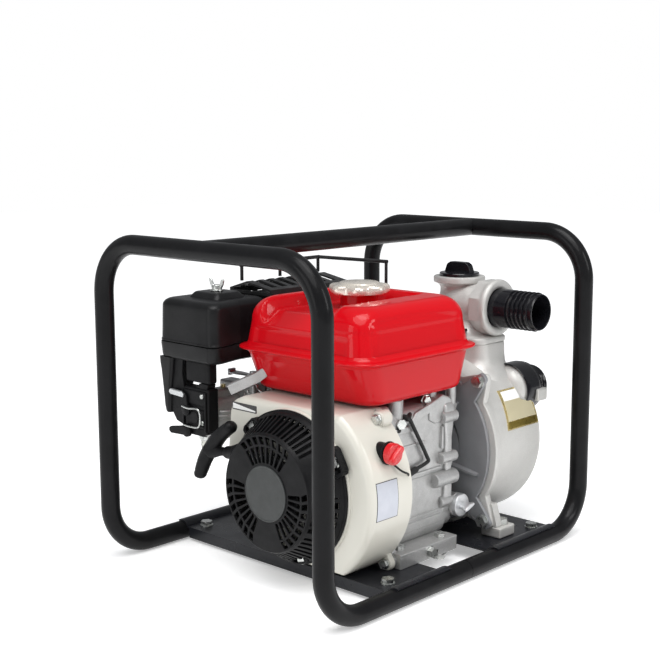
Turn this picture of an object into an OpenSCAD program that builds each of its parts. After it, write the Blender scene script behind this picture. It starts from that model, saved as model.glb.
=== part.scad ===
// Portable self-priming water pump with a four-stroke petrol engine in a tubular roll frame.
// Frame of reference: +X right seen from the starter side, +Y towards the pump, +Z up,
// origin at the bottom centre of the roll frame. All sizes in millimetres.

/* [Roll frame] */
// Overall length of the roll frame along Y
frame_len = 500; // [490:1:510]
// Overall width of the roll frame along X
frame_w = 380; // [376:1:390]
// Overall height of the roll frame
frame_h = 400; // [392:1:412]
// Outside diameter of the frame tube
tube_d = 23; // [22:0.5:25]
// Wall thickness of the frame tube
tube_wall = 2; // [1.5:0.25:3]
// Centreline radius of the top bends
top_bend_r = 60; // [45:1:75]
// Centreline radius of the bottom bends
foot_bend_r = 56; // [45:1:70]

/* [Base plate] */
// Height of the plate's top face
plate_top = 18; // [17:0.5:19]
// Sheet thickness of the plate
plate_t = 2; // [1.5:0.25:2.5]
// Front edge of the plate
plate_y0 = -128; // [-134:1:-122]
// Rear edge of the plate
plate_y1 = 190; // [180:1:196]

/* [Engine] */
// Crankshaft axis, distance right of centre
crank_x = 34; // [33:0.5:35]
// Crankshaft axis, height above the ground
crank_z = 113; // [112:0.5:114]
// Cylinder inclination above the horizontal, degrees
cyl_tilt = 25; // [25:1:25]
// Cylinder bore diameter
bore_d = 68; // [66:1:68]
// Piston stroke
stroke = 45; // [40:1:45]

/* [Starter] */
// Radius of the starter housing at its base
starter_r0 = 88; // [87:0.5:88.5]
// Radius of the starter housing's front face
starter_r1 = 68; // [66:0.5:69]
// Rope winding radius on the reel
reel_r = 36; // [34:1:38]

/* [Pump] */
// Drum axis, distance right of centre
drum_x = 38; // [36:1:40]
// Drum outside radius
drum_r = 105; // [102:1:105]
// Rear face of the drum
drum_y1 = 210; // [206:1:212]
// Outside radius of a hose barb's plain land
barb_r = 25; // [24.5:0.25:25.5]
// Bore radius of a hose barb
barb_bore_r = 20.5; // [19:0.25:21.5]

/* [Hidden] */
$fn = 48;

rt = tube_d/2;
xs = frame_w/2 - rt;
yh = frame_len/2 - rt;
zt = frame_h - rt;
zb = rt;
throw = stroke/2;
ux = -cos(cyl_tilt);
uz = sin(cyl_tilt);
pin_x = crank_x + throw*ux;
pin_z = crank_z + throw*uz;
rod_len = 84;
deck = throw + rod_len + 24;
cyl_y = -8;
cam_x = crank_x + 27;
cam_z = crank_z - 40.5;
drum_z = 124;
foot_bolts = [[120,-50],[125,19],[-62,-50],[-62,19]];
plate_bolts = [[153,-108],[-153,-108],[155,168],[-155,168]];
pump_foot_bolts = [[143,121],[-67,121]];
flange_bolts = [[126,214],[136,40],[-50,214],[-60,40]];
head_bolts = [[29,-52],[29,36],[-44,-52],[-44,36]];
cover_bolts = [[102,186],[103,118],[102,44],[-38,186],[-39,118],[-38,52]];
fan_bolts = [[106,-79,198],[124,-79,26],[-76,-79,176],[-30,-79,34]];
recoil_bolts = [[109,156],[-24,178],[57,33]];
rope_a = 3.95;
rope_x = -69;
rope_z = 142;
sw_y = -104;
sw_z = 166;
dis_y = 187;
dis_z = 291;
suc_x = 99;
suc_z = 186;

// ---- helpers: cylinders and boxes along the row axes ----
module cy(x, z, y0, y1, r) { translate([x, y0, z]) rotate([-90,0,0]) cylinder(r=r, h=y1-y0); }
module cx(y, z, x0, x1, r) { translate([x0, y, z]) rotate([0,90,0]) cylinder(r=r, h=x1-x0); }
module cz(x, y, z0, z1, r) { translate([x, y, z0]) cylinder(r=r, h=z1-z0); }
module bx(x0, x1, y0, y1, z0, z1) { translate([x0,y0,z0]) cube([x1-x0, y1-y0, z1-z0]); }
module ey(y0, y1) { translate([0,y1,0]) rotate([90,0,0]) linear_extrude(height=y1-y0) children(); }
module ex(x0, x1) { translate([x0,0,0]) rotate([90,0,90]) linear_extrude(height=x1-x0) children(); }
module ez(z0, z1) { translate([0,0,z0]) linear_extrude(height=z1-z0) children(); }
module rr(x0, x1, y0, y1, r) {
  translate([x0+r, y0]) square([x1-x0-2*r, y1-y0]);
  translate([x0, y0+r]) square([x1-x0, y1-y0-2*r]);
  for (x=[x0+r, x1-r], y=[y0+r, y1-r]) translate([x,y]) circle(r);
}
// cylinder frame: local +Z along the cylinder, away from the crankshaft
module cylframe() { translate([crank_x, 0, crank_z]) rotate([0, -(90-cyl_tilt), 0]) children(); }
module ring2(ro, ri) { difference() { circle(ro); circle(ri); } }

// ---- roll frame ----
module bend(R) { rotate_extrude(angle=90) translate([R,0]) ring2(rt, rt-tube_wall); }
module tube_len(L) { linear_extrude(height=L) ring2(rt, rt-tube_wall); }
module hoop() {
  translate([-(xs-top_bend_r), yh, zt]) rotate([0,90,0]) tube_len(2*(xs-top_bend_r));
  for (m=[0,1]) mirror([m,0,0]) {
    translate([xs-top_bend_r, yh, zt-top_bend_r]) rotate([90,0,0]) bend(top_bend_r);
    translate([xs, yh, zb+foot_bend_r]) tube_len(zt-top_bend_r-zb-foot_bend_r);
    translate([xs, yh-foot_bend_r, zb+foot_bend_r]) mirror([0,0,1]) rotate([90,0,90]) bend(foot_bend_r);
    translate([xs, 0.3, zb]) rotate([-90,0,0]) tube_len(yh-foot_bend_r-0.3);
  }
}
module tab(y) {
  difference() {
    bx(138, 168.6, y-13, y+13, 12.4, plate_top-plate_t);
    translate([abs(y) > 150 ? 155 : 153, y, 0]) cylinder(r=4.3, h=30);
  }
}
module front_hoop() { color([0.07,0.07,0.07]) { mirror([0,1,0]) hoop(); for (m=[0,1]) mirror([m,0,0]) tab(-108); } }
module rear_hoop() { color([0.07,0.07,0.07]) { hoop(); for (m=[0,1]) mirror([m,0,0]) tab(168); } }
module handle_bar() {
  color([0.07,0.07,0.07]) difference() {
    cy(0, zt, -yh, yh, rt);
    cy(0, zt, -yh-1, yh+1, rt-tube_wall);
    for (s=[-1,1]) cx(s*yh, zt, -30, 30, rt);
  }
}
module rail_spigots() {
  color([0.3,0.3,0.3]) for (s=[-1,1]) difference() {
    cy(s*xs, zb, -45, 45, rt-tube_wall-0.05);
    cy(s*xs, zb, -46, 46, rt-tube_wall-2);
  }
}
module roll2() {
  intersection() {
    translate([xs, zb]) ring2(rt+2.1, rt+0.1);
    translate([xs, zb]) polygon([[0,0],[9,18],[-2,22],[-24,18],[-24,10]]);
  }
}
module base_plate() {
  color([0.09,0.09,0.10]) difference() {
    union() {
      bx(-167.6, 167.6, plate_y0, plate_y1, plate_top-plate_t, plate_top);
      bx(-164, 164, plate_y0, plate_y0+plate_t, 4, plate_top);
      bx(-164, 164, plate_y1-plate_t, plate_y1, 4, plate_top);
      for (m=[0,1]) mirror([m,0,0]) ey(plate_y0, 178) roll2();
    }
    for (m=[0,1]) mirror([m,0,0]) bx(118, 195, -34, 56, 10, 30);
    for (p=concat(foot_bolts, pump_foot_bolts)) cz(p[0], p[1], 0, 30, 4.4);
    for (p=plate_bolts) cz(p[0], p[1], 0, 30, 4.3);
    cz(32, -8, 0, 30, 26);
  }
}

// ---- fasteners ----
module hexb(af, k, d, L) { union() { cylinder(r=af/2/cos(30), h=k, $fn=6); cylinder(r=af*0.62, h=1.4); translate([0,0,-L]) cylinder(r=d/2, h=L+0.5); } }
module m8_bolts() {
  color([0.75,0.75,0.72]) {
    for (p=plate_bolts) translate([p[0],p[1],plate_top]) hexb(13, 6, 8, 12);
    for (p=foot_bolts) translate([p[0],p[1],34]) hexb(13, 6, 8, 26);
    for (p=pump_foot_bolts) translate([p[0],p[1],32]) hexb(13, 6, 8, 24);
    for (p=flange_bolts) translate([p[0],91,p[1]]) rotate([90,0,0]) hexb(13, 6, 8, 20);
    cylframe() for (p=head_bolts) translate([p[0],p[1],deck+28]) hexb(13, 6, 8, 46);
  }
}
module m8_nuts() {
  color([0.75,0.75,0.72]) {
    for (p=plate_bolts) translate([p[0],p[1],6.3]) difference() { cylinder(r=7.5, h=6, $fn=6); translate([0,0,-1]) cylinder(r=4.02, h=9); }
    for (p=concat(foot_bolts, pump_foot_bolts)) translate([p[0],p[1],8.3]) difference() { union() { cylinder(r=7.5, h=6.5, $fn=6); translate([0,0,6.1]) cylinder(r=9, h=1.5); } translate([0,0,-1]) cylinder(r=4.02, h=10); }
  }
}
module m6_bolts() {
  color([0.75,0.75,0.72]) {
    for (p=cover_bolts) translate([p[0],58,p[1]]) rotate([-90,0,0]) hexb(10, 5, 6, 24);
    for (p=fan_bolts) translate(p) rotate([90,0,0]) hexb(10, 5, 6, 12);
    for (p=recoil_bolts) translate([p[0],-144.5,p[1]]) rotate([90,0,0]) hexb(10, 5, 6, 12);
  }
}

// ---- engine castings ----
module crankcase() {
  color([0.62,0.62,0.60]) difference() {
    union() {
      ey(-66, 46) rr(-46, 110, 30, 196, 14);
      bx(-74, 136, -66, 37, plate_top, 34);
      cy(crank_x, crank_z, -74, -60, 31);
      cylframe() translate([0,cyl_y,30]) cylinder(r=42, h=deck-30);
      cylframe() for (i=[0:6]) translate([-56,-62,66+9*i]) cube([108,106,3.5]);
      cylframe() translate([-52,-60,deck-8]) cube([96,104,8]);
      for (y=[-28,34]) cz(98, y, 180, 208.8, 6.5);
      for (p=fan_bolts) cy(p[0], p[2], -69.6, -61, 7);
      hull() { cy(98, 190, -68, -59.3, 6); cy(106, 198, -68, -59.3, 7); }
      hull() { cy(-50, 176, -68, -60.4, 6); cy(-76, 176, -68, -60.4, 6); }
      hull() { cy(112, 40, -68, -59.3, 6); cy(124, 26, -68, -59.3, 7); }
    }
    ey(-50, 47) rr(-36, 100, 38, 186, 12);
    cylframe() translate([0,cyl_y,20]) cylinder(r=bore_d/2, h=deck);
    cy(crank_x, crank_z, -65, -49, 26);
    cy(crank_x, crank_z, -75, -64, 20);
    cy(cam_x, cam_z, -58, -49, 7.05);
    bx(-86, 91, -70, 60, 206.5, 260);
    bx(105, 140, -70, 60, 206.5, 260);
    for (p=foot_bolts) cz(p[0], p[1], 10, 40, 4.4);
    cx(-12, 26, 104, 137, 5.05);
    for (p=cover_bolts) cy(p[0], p[1], 32, 47, 3.05);
    for (p=fan_bolts) cy(p[0], p[2], -72, -64, 3.05);
    cylframe() for (p=head_bolts) translate([p[0],p[1],deck-20]) cylinder(r=4.05, h=30);
  }
}
module side_cover() {
  color([0.66,0.66,0.64]) difference() {
    union() {
      ey(46, 58) rr(-46, 110, 36, 196, 14);
      ey(56, 64) rr(-28, 92, 58, 174, 20);
      cy(crank_x, crank_z, 56, 72, 32);
      cx(68, 62, 80, 114, 13);
      bx(70, 94, 52, 68, 51, 76);
      cy(103, 118, 46, 57.9, 10);
    }
    ey(45, 56) rr(-34, 96, 44, 184, 14);
    cy(crank_x, crank_z, 44, 61, 26);
    cy(crank_x, crank_z, 60, 74, 20);
    cx(68, 62, 84, 115, 8);
    for (p=cover_bolts) cy(p[0], p[1], 44, 70, 3.3);
    cy(cam_x, cam_z, 44, 60, 7.05);
  }
  color([0.66,0.66,0.64]) difference() {
    cy(crank_x, crank_z, 46.2, 56.5, 33);
    cy(crank_x, crank_z, 44, 57, 26);
  }
  color([0.66,0.66,0.64]) difference() {
    cy(cam_x, cam_z, 46.2, 56.5, 12);
    cy(cam_x, cam_z, 44, 57, 7.05);
    cy(crank_x, crank_z, 44, 58, 32.5);
  }
}
module cylinder_head() {
  color([0.60,0.60,0.58]) cylframe() difference() {
    union() {
      translate([-52,-60,deck]) cube([96,104,9]);
      for (i=[0:1]) translate([-56,-62,deck+12+7*i]) cube([100,106,3.5]);
      translate([-40,-58,deck]) cube([80,102,28]);
      for (p=head_bolts) translate([p[0],p[1],deck]) cylinder(r=9, h=28);
    }
    translate([0,cyl_y,deck-1]) cylinder(r=32, h=9);
    for (p=head_bolts) translate([p[0],p[1],deck-1]) cylinder(r=4.3, h=31);
    translate([-60,cyl_y,deck+14]) rotate([0,90,0]) cylinder(r=7.05, h=37);
    translate([-27,cyl_y,deck-1]) cylinder(r=5, h=15);
    translate([-60,cyl_y,deck+14]) rotate([0,90,0]) cylinder(r=12.5, h=9.6);
    translate([30,-70,deck-60]) cube([40,140,70]);
    translate([-8,-63,deck+16]) rotate([-90,0,0]) cylinder(r=11, h=30);
    translate([-8,20,deck+16]) rotate([-90,0,0]) cylinder(r=11, h=30);
  }
}
module valve_cover() {
  color([0.78,0.76,0.68]) cylframe() difference() {
    union() {
      ez(deck+28, deck+58) rr(-32, 26, -38, 20, 12);
      ez(deck+28, deck+31) rr(-36, 30, -42, 24, 12);
      translate([0,cyl_y,deck+55]) cylinder(r=9, h=7);
    }
    ez(deck+27, deck+56) rr(-30, 24, -36, 18, 10);
  }
}
module spark_plug() {
  color([0.85,0.85,0.83]) cylframe() translate([-28.5,cyl_y,deck+14]) rotate([0,-90,0]) union() {
    cylinder(r=6.98, h=23); translate([0,0,23.6]) cylinder(r=10.4, h=7, $fn=6);
    translate([0,0,22]) cylinder(r=8.5, h=3); translate([0,0,28]) cylinder(r=5, h=18); translate([0,0,-4]) cylinder(r=1.5, h=5);
  }
}
module plug_cap() {
  color([0.05,0.05,0.05]) cylframe() difference() {
    union() {
      translate([-62,cyl_y,deck+14]) rotate([0,-90,0]) cylinder(r=9, h=22);
      translate([-79,cyl_y,deck+14]) rotate([-90,0,0]) cylinder(r=6.5, h=26);
      translate([-79,cyl_y+26,deck+14]) rotate([-90,0,0]) cylinder(r=3.5, h=14);
    }
    translate([-61,cyl_y,deck+14]) rotate([0,-90,0]) cylinder(r=5.2, h=14);
  }
}

// ---- crank train ----
module tooth_gear(n, m, w, ph) {
  rp = m*n/2;
  ey(0, w) rotate(ph) union() {
    circle(rp-1.25*m);
    for (i=[0:n-1]) rotate(i*360/n) polygon([[rp-1.6*m, -0.66*m],[rp, -0.60*m],[rp+0.75*m, -0.30*m],[rp+0.75*m, 0.30*m],[rp, 0.60*m],[rp-1.6*m, 0.66*m]]);
  }
}
module web2() {
  circle(22);
  translate([throw*ux, throw*uz]) circle(19);
  intersection() { circle(37); rotate(-cyl_tilt) translate([0,-42]) square([42,84]); }
}
module crankshaft() {
  color([0.45,0.45,0.46]) {
    difference() {
      union() {
        cy(crank_x, crank_z, -108, -33, 12.5);
        cy(crank_x, crank_z, -118, -108, 9);
        translate([crank_x,0,crank_z]) ey(-32, -20) web2();
        cy(pin_x, pin_z, -20.5, 4.5, 13);
        translate([crank_x,0,crank_z]) ey(4, 16) web2();
        cy(crank_x, crank_z, 15, 120, 12.5);
        cy(crank_x, crank_z, -33.5, -32, 16);
        cy(crank_x, crank_z, 15, 19, 16);
        translate([crank_x,20,crank_z]) tooth_gear(18, 1.8, 9, -56.31+10);
      }
      cy(crank_x, crank_z, 100, 121, 4);
    }
  }
}
module bearing(y) {
  difference() { cy(crank_x, crank_z, y, y+15, 25.98); cy(crank_x, crank_z, y-1, y+16, 12.55);
    translate([crank_x,y-0.01,crank_z]) ey(0, 2) ring2(22, 17); translate([crank_x,y+13.01,crank_z]) ey(0, 2) ring2(22, 17); }
}
module main_bearings() { color([0.7,0.7,0.72]) { bearing(-65); bearing(46); } }
module seal(y) { difference() { cy(crank_x, crank_z, y, y+7, 19.98); cy(crank_x, crank_z, y-1, y+8, 12.56); } }
module oil_seals() { color([0.35,0.12,0.08]) { seal(-73); seal(62); } }
module connecting_rod() {
  color([0.58,0.58,0.57]) cylframe() difference() {
    union() {
      translate([0,-17,throw]) rotate([-90,0,0]) cylinder(r=19.5, h=18);
      translate([-24,-16,throw-4]) cube([48,16,8]);
      translate([-6.5,-14,throw+14]) cube([13,12,rod_len-26]);
      translate([-5.5,-13,throw+rod_len-13]) cube([11,10,3]);
    }
    translate([0,-18,throw]) rotate([-90,0,0]) cylinder(r=13.06, h=20);
  }
}
module piston() {
  color([0.7,0.7,0.7]) cylframe() difference() {
    translate([0,cyl_y,deck-50]) cylinder(r=33.9, h=49);
    translate([0,cyl_y,deck-51]) cylinder(r=30.4, h=42);
    translate([0,cyl_y-40,deck-24]) rotate([-90,0,0]) cylinder(r=8.02, h=80);
    for (z=[6,11,16]) translate([0,cyl_y,deck-z]) difference() { cylinder(r=36, h=1.8); translate([0,0,-1]) cylinder(r=31.8, h=4); }
  }
}
module wrist_pin() { color([0.8,0.8,0.82]) cylframe() translate([0,cyl_y-32,deck-24]) rotate([-90,0,0]) cylinder(r=8, h=64); }
module camshaft() {
  color([0.4,0.4,0.42]) difference() {
    union() {
      cy(cam_x, cam_z, -56, 56, 7);
      for (q=[[-44,200],[-30,20],[9,200]]) translate([cam_x,q[0],cam_z]) ey(0,6) union() { circle(8.5); rotate(q[1]) translate([2.4,0]) circle(8); }
      translate([cam_x,20,cam_z]) tooth_gear(36, 1.8, 8, -56.31+180);
    }
    cy(cam_x, cam_z, 40, 57, 2);
  }
}

// ---- flywheel, fan, covers ----
module flywheel() {
  color([0.5,0.5,0.5]) difference() {
    union() { cy(crank_x, crank_z, -100, -84, 75); cy(crank_x, crank_z, -104, -78, 24); }
    cy(crank_x, crank_z, -94, -83, 66);
    for (a=[0:60:300]) cy(crank_x+46*cos(a), crank_z+46*sin(a), -110, -80, 7);
    cy(crank_x, crank_z, -110, -77, 12.52);
  }
  color([0.5,0.5,0.5]) difference() { cy(crank_x, crank_z, -96, -78, 24); cy(crank_x, crank_z, -110, -77, 12.52); }
}
module cooling_fan() {
  color([0.1,0.1,0.1]) difference() {
    union() {
      cy(crank_x, crank_z, -104, -100.2, 77);
      for (a=[0:20:340]) translate([crank_x,0,crank_z]) rotate([0,a,0]) translate([44,-120,-1.2]) rotate([0,18,0]) cube([32,17,2.4]);
      difference() { cy(crank_x, crank_z, -134, -103, 34); cy(crank_x, crank_z, -136, -106, 31); }
    }
    cy(crank_x, crank_z, -107, -99, 25);
  }
  color([0.75,0.75,0.72]) difference() { cy(crank_x, crank_z, -118, -104.2, 30.9); cy(crank_x, crank_z, -119, -104, 9.05); cy(crank_x, crank_z, -108.1, -104, 12.6);
    cy(crank_x, crank_z, -119, -110, 24); }
}
module fan_outline(d) {
  intersection() {
    union() {
      translate([46,113]) circle(110-d);
      translate([crank_x,crank_z]) circle(92-d);
      polygon([[-80+d,136+d],[-75+d,190],[-66,200-d],[-50,206-d],[112,206-d],[112,60],[-20,60],[-66.5,122]]);
      translate([-60+0,60]) polygon([[0,0],[40,-38+d],[120,-38+d],[120,40],[0,60]]);
    }
    translate([-120, 22+d]) square([300, 184-2*d]);
  }
}
module fan_cover() {
  color([0.90,0.88,0.80]) difference() {
    union() {
      ey(-138, -70) fan_outline(0);
      cy(crank_x, crank_z, -141, -137, 90.5);
      for (p=fan_bolts) hull() { cy(p[0], p[2], -79, -70, 8); cy(p[0]+(p[0]>crank_x?-9:9), p[2]+(p[2]>crank_z?-9:9), -79, -70, 10); }
    }
    ey(-135.5, -69) fan_outline(2.6);
    cy(crank_x, crank_z, -142, -134, 74);
    for (p=fan_bolts) cy(p[0], p[2], -80, -70, 3.3);
    for (p=fan_bolts) cy(p[0], p[2], -90, -79, 6.4);
    for (p=recoil_bolts) cy(p[0], p[1], -142, -133, 3.05);
    cx(sw_y, sw_z, 120, 160, 11);
  }
}
module ring_slots(n, a0, a1, r0, r1, w, y0, y1) {
  for (i=[0:n-1]) translate([crank_x, y0, crank_z]) rotate([0, -(a0+(a1-a0)*i/(n-1)), 0]) translate([r0, 0, -w/2]) cube([r1-r0, y1-y0, w]);
}
module recoil_housing() {
  color([0.06,0.06,0.06]) difference() {
    union() {
      translate([crank_x,0,crank_z]) rotate([-90,0,0]) rotate_extrude()
        polygon([[0,-181],[starter_r1-6,-181],[starter_r1,-176],[starter_r0-2,-150],[starter_r0,-145],[starter_r0,-141.2],[starter_r0-3,-141.2],[starter_r0-3.4,-146],[starter_r0-5,-150],[starter_r1-3,-174],[starter_r1-8,-178],[0,-178]]);
      for (p=recoil_bolts) hull() { cy(p[0], p[1], -144.3, -141.2, 9); cy(crank_x+(p[0]-crank_x)*0.83, crank_z+(p[1]-crank_z)*0.83, -144.3, -141.2, 11); }
      cy(crank_x, crank_z, -178.2, -150, 6);
      translate([rope_x,-164,rope_z]) rotate([0,90-rope_a,0]) translate([0,0,18]) cylinder(r=7, h=23);
    }
    for (p=recoil_bolts) { cy(p[0], p[1], -146, -140, 3.3); cy(p[0], p[1], -160, -144.3, 7.4); }
    ring_slots(8, 56, 124, 35.5, 53.5, 4.6, -183, -177.5);
    ring_slots(8, 176, 244, 35.5, 53.5, 4.6, -183, -177.5);
    ring_slots(8, 297, 365, 35.5, 53.5, 4.6, -183, -177.5);
    ring_slots(8, 56, 124, 56, 61.4, 5.4, -183, -177.2);
    ring_slots(8, 176, 244, 56, 61.4, 5.4, -183, -177.2);
    ring_slots(8, 297, 365, 56, 61.4, 5.4, -183, -177.2);
    ring_slots(9, 50, 118, 67, 90, 4.6, -170, -151.5);
    ring_slots(6, 185, 235, 67, 90, 4.6, -170, -151.5);
    ring_slots(4, 335, 365, 67, 90, 4.6, -170, -151.5);
    translate([rope_x,-164,rope_z]) rotate([0,90-rope_a,0]) cylinder(r=3.4, h=50);
  }
}
module rope_reel() {
  color([0.15,0.15,0.16]) difference() {
    union() { cy(crank_x, crank_z, -172, -169.5, 42); cy(crank_x, crank_z, -158.5, -156, 42); cy(crank_x, crank_z, -172, -150, reel_r-5); }
    cy(crank_x, crank_z, -173, -149, 6.06);
    cy(crank_x, crank_z, -158, -149, 30);
  }
}
module recoil_spring() {
  color([0.4,0.4,0.45]) for (r=[10:4:26]) difference() { cy(crank_x, crank_z, -156, -150.4, r+1.2); cy(crank_x, crank_z, -157, -150, r); }
}
module starter_rope() {
  color([0.85,0.85,0.8]) difference() { cy(crank_x, crank_z, -169.3, -158.7, reel_r-2.3); cy(crank_x, crank_z, -170, -158, reel_r-4.9); }
}
module pull_handle() {
  color([0.04,0.04,0.04]) union() {
    hull() { translate([-42,-164,175]) sphere(r=7, $fn=24); translate([-98,-164,108]) sphere(r=7, $fn=24); }
    translate([rope_x-4,-164,rope_z]) sphere(r=9, $fn=32);
    translate([rope_x,-164,rope_z]) rotate([0,90-rope_a,0]) cylinder(r=5, h=17);
    translate([rope_x,-164,rope_z]) rotate([0,90-rope_a,0]) cylinder(r=2, h=138);
  }
}
module centre_label() { color([0.2,0.21,0.21]) cy(crank_x, crank_z, -182.2, -181, 32.5); }

// ---- controls on the engine's right side ----
module stop_switch() {
  color([0.05,0.05,0.05]) difference() {
    union() { cx(sw_y, sw_z, 124, 151, 10.7); cx(sw_y, sw_z, 148.6, 151, 13); }
    cx(sw_y, sw_z, 144, 153, 6.06);
  }
}
module stop_knob() {
  color([0.75,0.04,0.04]) union() {
    cx(sw_y, sw_z, 151.3, 160, 12);
    cx(sw_y, sw_z, 145, 152, 6);
    translate([0, sw_y, sw_z]) rotate([-50,0,0]) bx(158, 165, -3.4, 3.4, -11.6, 11.6);
  }
}
module switch_cable() {
  color([0.03,0.03,0.03]) union() {
    rod([114,-36,184],[114,9,131],2.3);
    rod([114,9,131],[114,-31,118],2.3);
    bx(111, 118, -42, -28, 114, 121);
  }
}
module dipstick() {
  color([0.82,0.82,0.82]) union() {
    cx(68, 62, 114.3, 121, 14.5);
    cx(68, 62, 97, 115, 7.9);
    cx(68, 62, 86, 98, 2.5);
    bx(120, 134, 65, 71, 53, 71);
  }
}
module oil_drain_bolt() { color([0.8,0.8,0.78]) translate([136,-12,26]) rotate([0,90,0]) hexb(12, 7, 10, 24); }

// ---- fuel tank ----
module slab(x0, x1, y0, y1, z, r) { translate([0,0,z]) for (x=[x0+r,x1-r], y=[y0+r,y1-r]) translate([x,y,0]) cylinder(r=r, h=0.4, $fn=24); }
module tank_low(d) { hull() { slab(-76+d, 118-d, -92+d, 74-d, 209+d, 22); slab(-80+d, 124-d, -116+d, 88-d, 260, 26); } }
module tank_up(d) {
  hull() { slab(-80+d, 124-d, -116+d, 88-d, 262, 26); slab(-74+d, 118-d, -110+d, 82-d, 298-d, 26); slab(-56+d, 92-d, -92+d, 60-d, 321-d, 22); }
}
module fuel_tank() {
  color([0.78,0.02,0.03]) difference() {
    union() {
      tank_low(0);
      ez(259.5, 262.5) rr(-88, 132, -124, 96, 30);
      tank_up(0);
      cz(12, 0, 318, 327, 23);
    }
    tank_low(1.6);
    tank_up(1.6);
    ez(259, 263) rr(-76, 120, -112, 84, 26);
    cz(12, 0, 310, 330, 20);
    cz(98, -28, 207, 212, 3);
  }
}
module fuel_cap() {
  color([0.8,0.8,0.8]) difference() {
    union() {
      cz(12, 0, 321.9, 332, 33);
      for (a=[0:60:300]) cz(12+30*cos(a), 30*sin(a), 324, 333, 9);
      cz(12, 0, 331, 336, 24);
    }
    cz(12, 0, 321, 328.5, 23.6);
  }
}

// ---- carburettor and controls ----
cb_x = -126;
cb_z = 178;
module carburettor() {
  color([0.5,0.5,0.5]) difference() {
    union() {
      cy(cb_x, cb_z, -128, -80, 17);
      bx(-152, -88, -84, -62.4, 158, 206);
      cz(cb_x, -106, 166, 176, 24);
      cz(cb_x, -106, 140.4, 167, 22);
      cz(cb_x-2, -112, 136, 142, 11);
      bx(cb_x-9, cb_x+9, -118, -94, 190, 201);
      cx(-98, 196, cb_x+8, cb_x+24, 4);
    }
    cy(cb_x, cb_z, -129, -76, 11);
    cy(-107, 172, -80, -61, 12);
    cz(cb_x, -100, 184, 210, 3.04);
    cz(cb_x, -106, 144, 164, 18);
    cx(-98, 172, cb_x+10, cb_x+30, 3.04);
    cx(-118, 190, cb_x-30, cb_x-6, 3.04);
  }
}
module sediment_cup() { color([0.85,0.85,0.8,0.6]) difference() { cz(cb_x-2, -112, 120, 135.8, 10); cz(cb_x-2, -112, 122, 136.2, 8.4); } }
module throttle_plate() { color([0.75,0.68,0.4]) union() { cz(cb_x, -100, 169, 205, 3); cy(cb_x, cb_z, -100.8, -99.2, 10.5); } }
module fuel_lever() {
  color([0.06,0.06,0.06]) union() {
    cy(-140, 152, -150.5, -146.3, 8);
    cy(-140, 152, -147, -142.2, 3);
    translate([-140,-150.5,152]) rotate([0,-8,0]) bx(-32, 0, 0, 4, -4, 4);
  }
}
module choke_lever() {
  color([0.75,0.77,0.78]) union() {
    cy(-140, 178, -150.5, -146.3, 7);
    cy(-140, 178, -147, -142.2, 3);
    translate([-140,-150.5,178]) rotate([0,4,0]) bx(-27, 0, 0, 4, -4, 4);
  }
}
module throttle_lever() {
  color([0.72,0.72,0.74]) union() { cz(-92, -80, 207.2, 222, 7); bx(-128, -92, -84, -76, 216, 219); bx(-132, -122, -86, -74, 214, 221); }
}

// ---- air cleaner ----
function ac_pts(d) = [[-190+d,-140+d],[-180+d,-152+d],[-86-d,-152+d],[-80-d,-146+d],[-95-d,-96],[-95-d,-50-d],[-190+d,-50-d]];
module air_cleaner_case() {
  color([0.06,0.06,0.06]) difference() {
    union() {
      ez(238, 259.6) polygon(ac_pts(2));
      ez(256, 259.6) polygon(ac_pts(0));
      bx(-148, -106, -146, -128.3, 142, 240);
      hull() { bx(-188, -170, -151, -104, 236, 240); bx(-184, -172, -150, -112, 168, 170); }
      cz(-135, -100, 238, 242, 14);
    }
    ez(240.4, 261) polygon(ac_pts(4.4));
    bx(-144.5, -109.5, -143, -127, 163.5, 242);
    hull() { bx(-185, -173, -148, -107, 237, 243); bx(-181, -175, -147, -115, 171, 173); }
    cy(-140, 178, -147, -142, 3.05);
    cy(-140, 152, -147, -142, 3.05);
  }
  color([0.6,0.6,0.6]) difference() { cz(-135, -100, 240, 326, 3); }
}
module air_cleaner_cover() {
  color([0.05,0.05,0.05]) difference() {
    union() {
      ez(260, 303) polygon(ac_pts(1));
      hull() { ez(302.9, 303) polygon(ac_pts(1)); ez(314, 314.2) polygon(ac_pts(11)); }
      hull() { ez(314, 314.1) translate([-135,-100]) rr(-26, 26, -24, 24, 6); ez(320.8, 321) translate([-135,-100]) rr(-20, 20, -18, 18, 6); }
    }
    ez(259, 301) polygon(ac_pts(3.6));
    hull() { ez(300.9, 301) polygon(ac_pts(3.6)); ez(311, 311.2) polygon(ac_pts(13.5)); }
    cz(-135, -100, 300, 330, 3.4);
  }
}
module filter_element() {
  color([0.75,0.7,0.45]) difference() { ez(243, 298) translate([-135,-100]) rr(-42, 30, -40, 40, 12); ez(242, 299) translate([-135,-100]) rr(-26, 14, -24, 24, 8); }
}
module wing_nut() {
  color([0.85,0.85,0.85]) difference() {
    union() { cz(-135, -100, 321.3, 328, 6.5); for (s=[-1,1]) hull() { translate([-135+s*5,-101,322.5]) cube([4,2,4]); translate([-135+s*10-2,-101,333]) cube([4,2,4]); } }
    cz(-135, -100, 320, 331, 3.06);
  }
}

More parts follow.
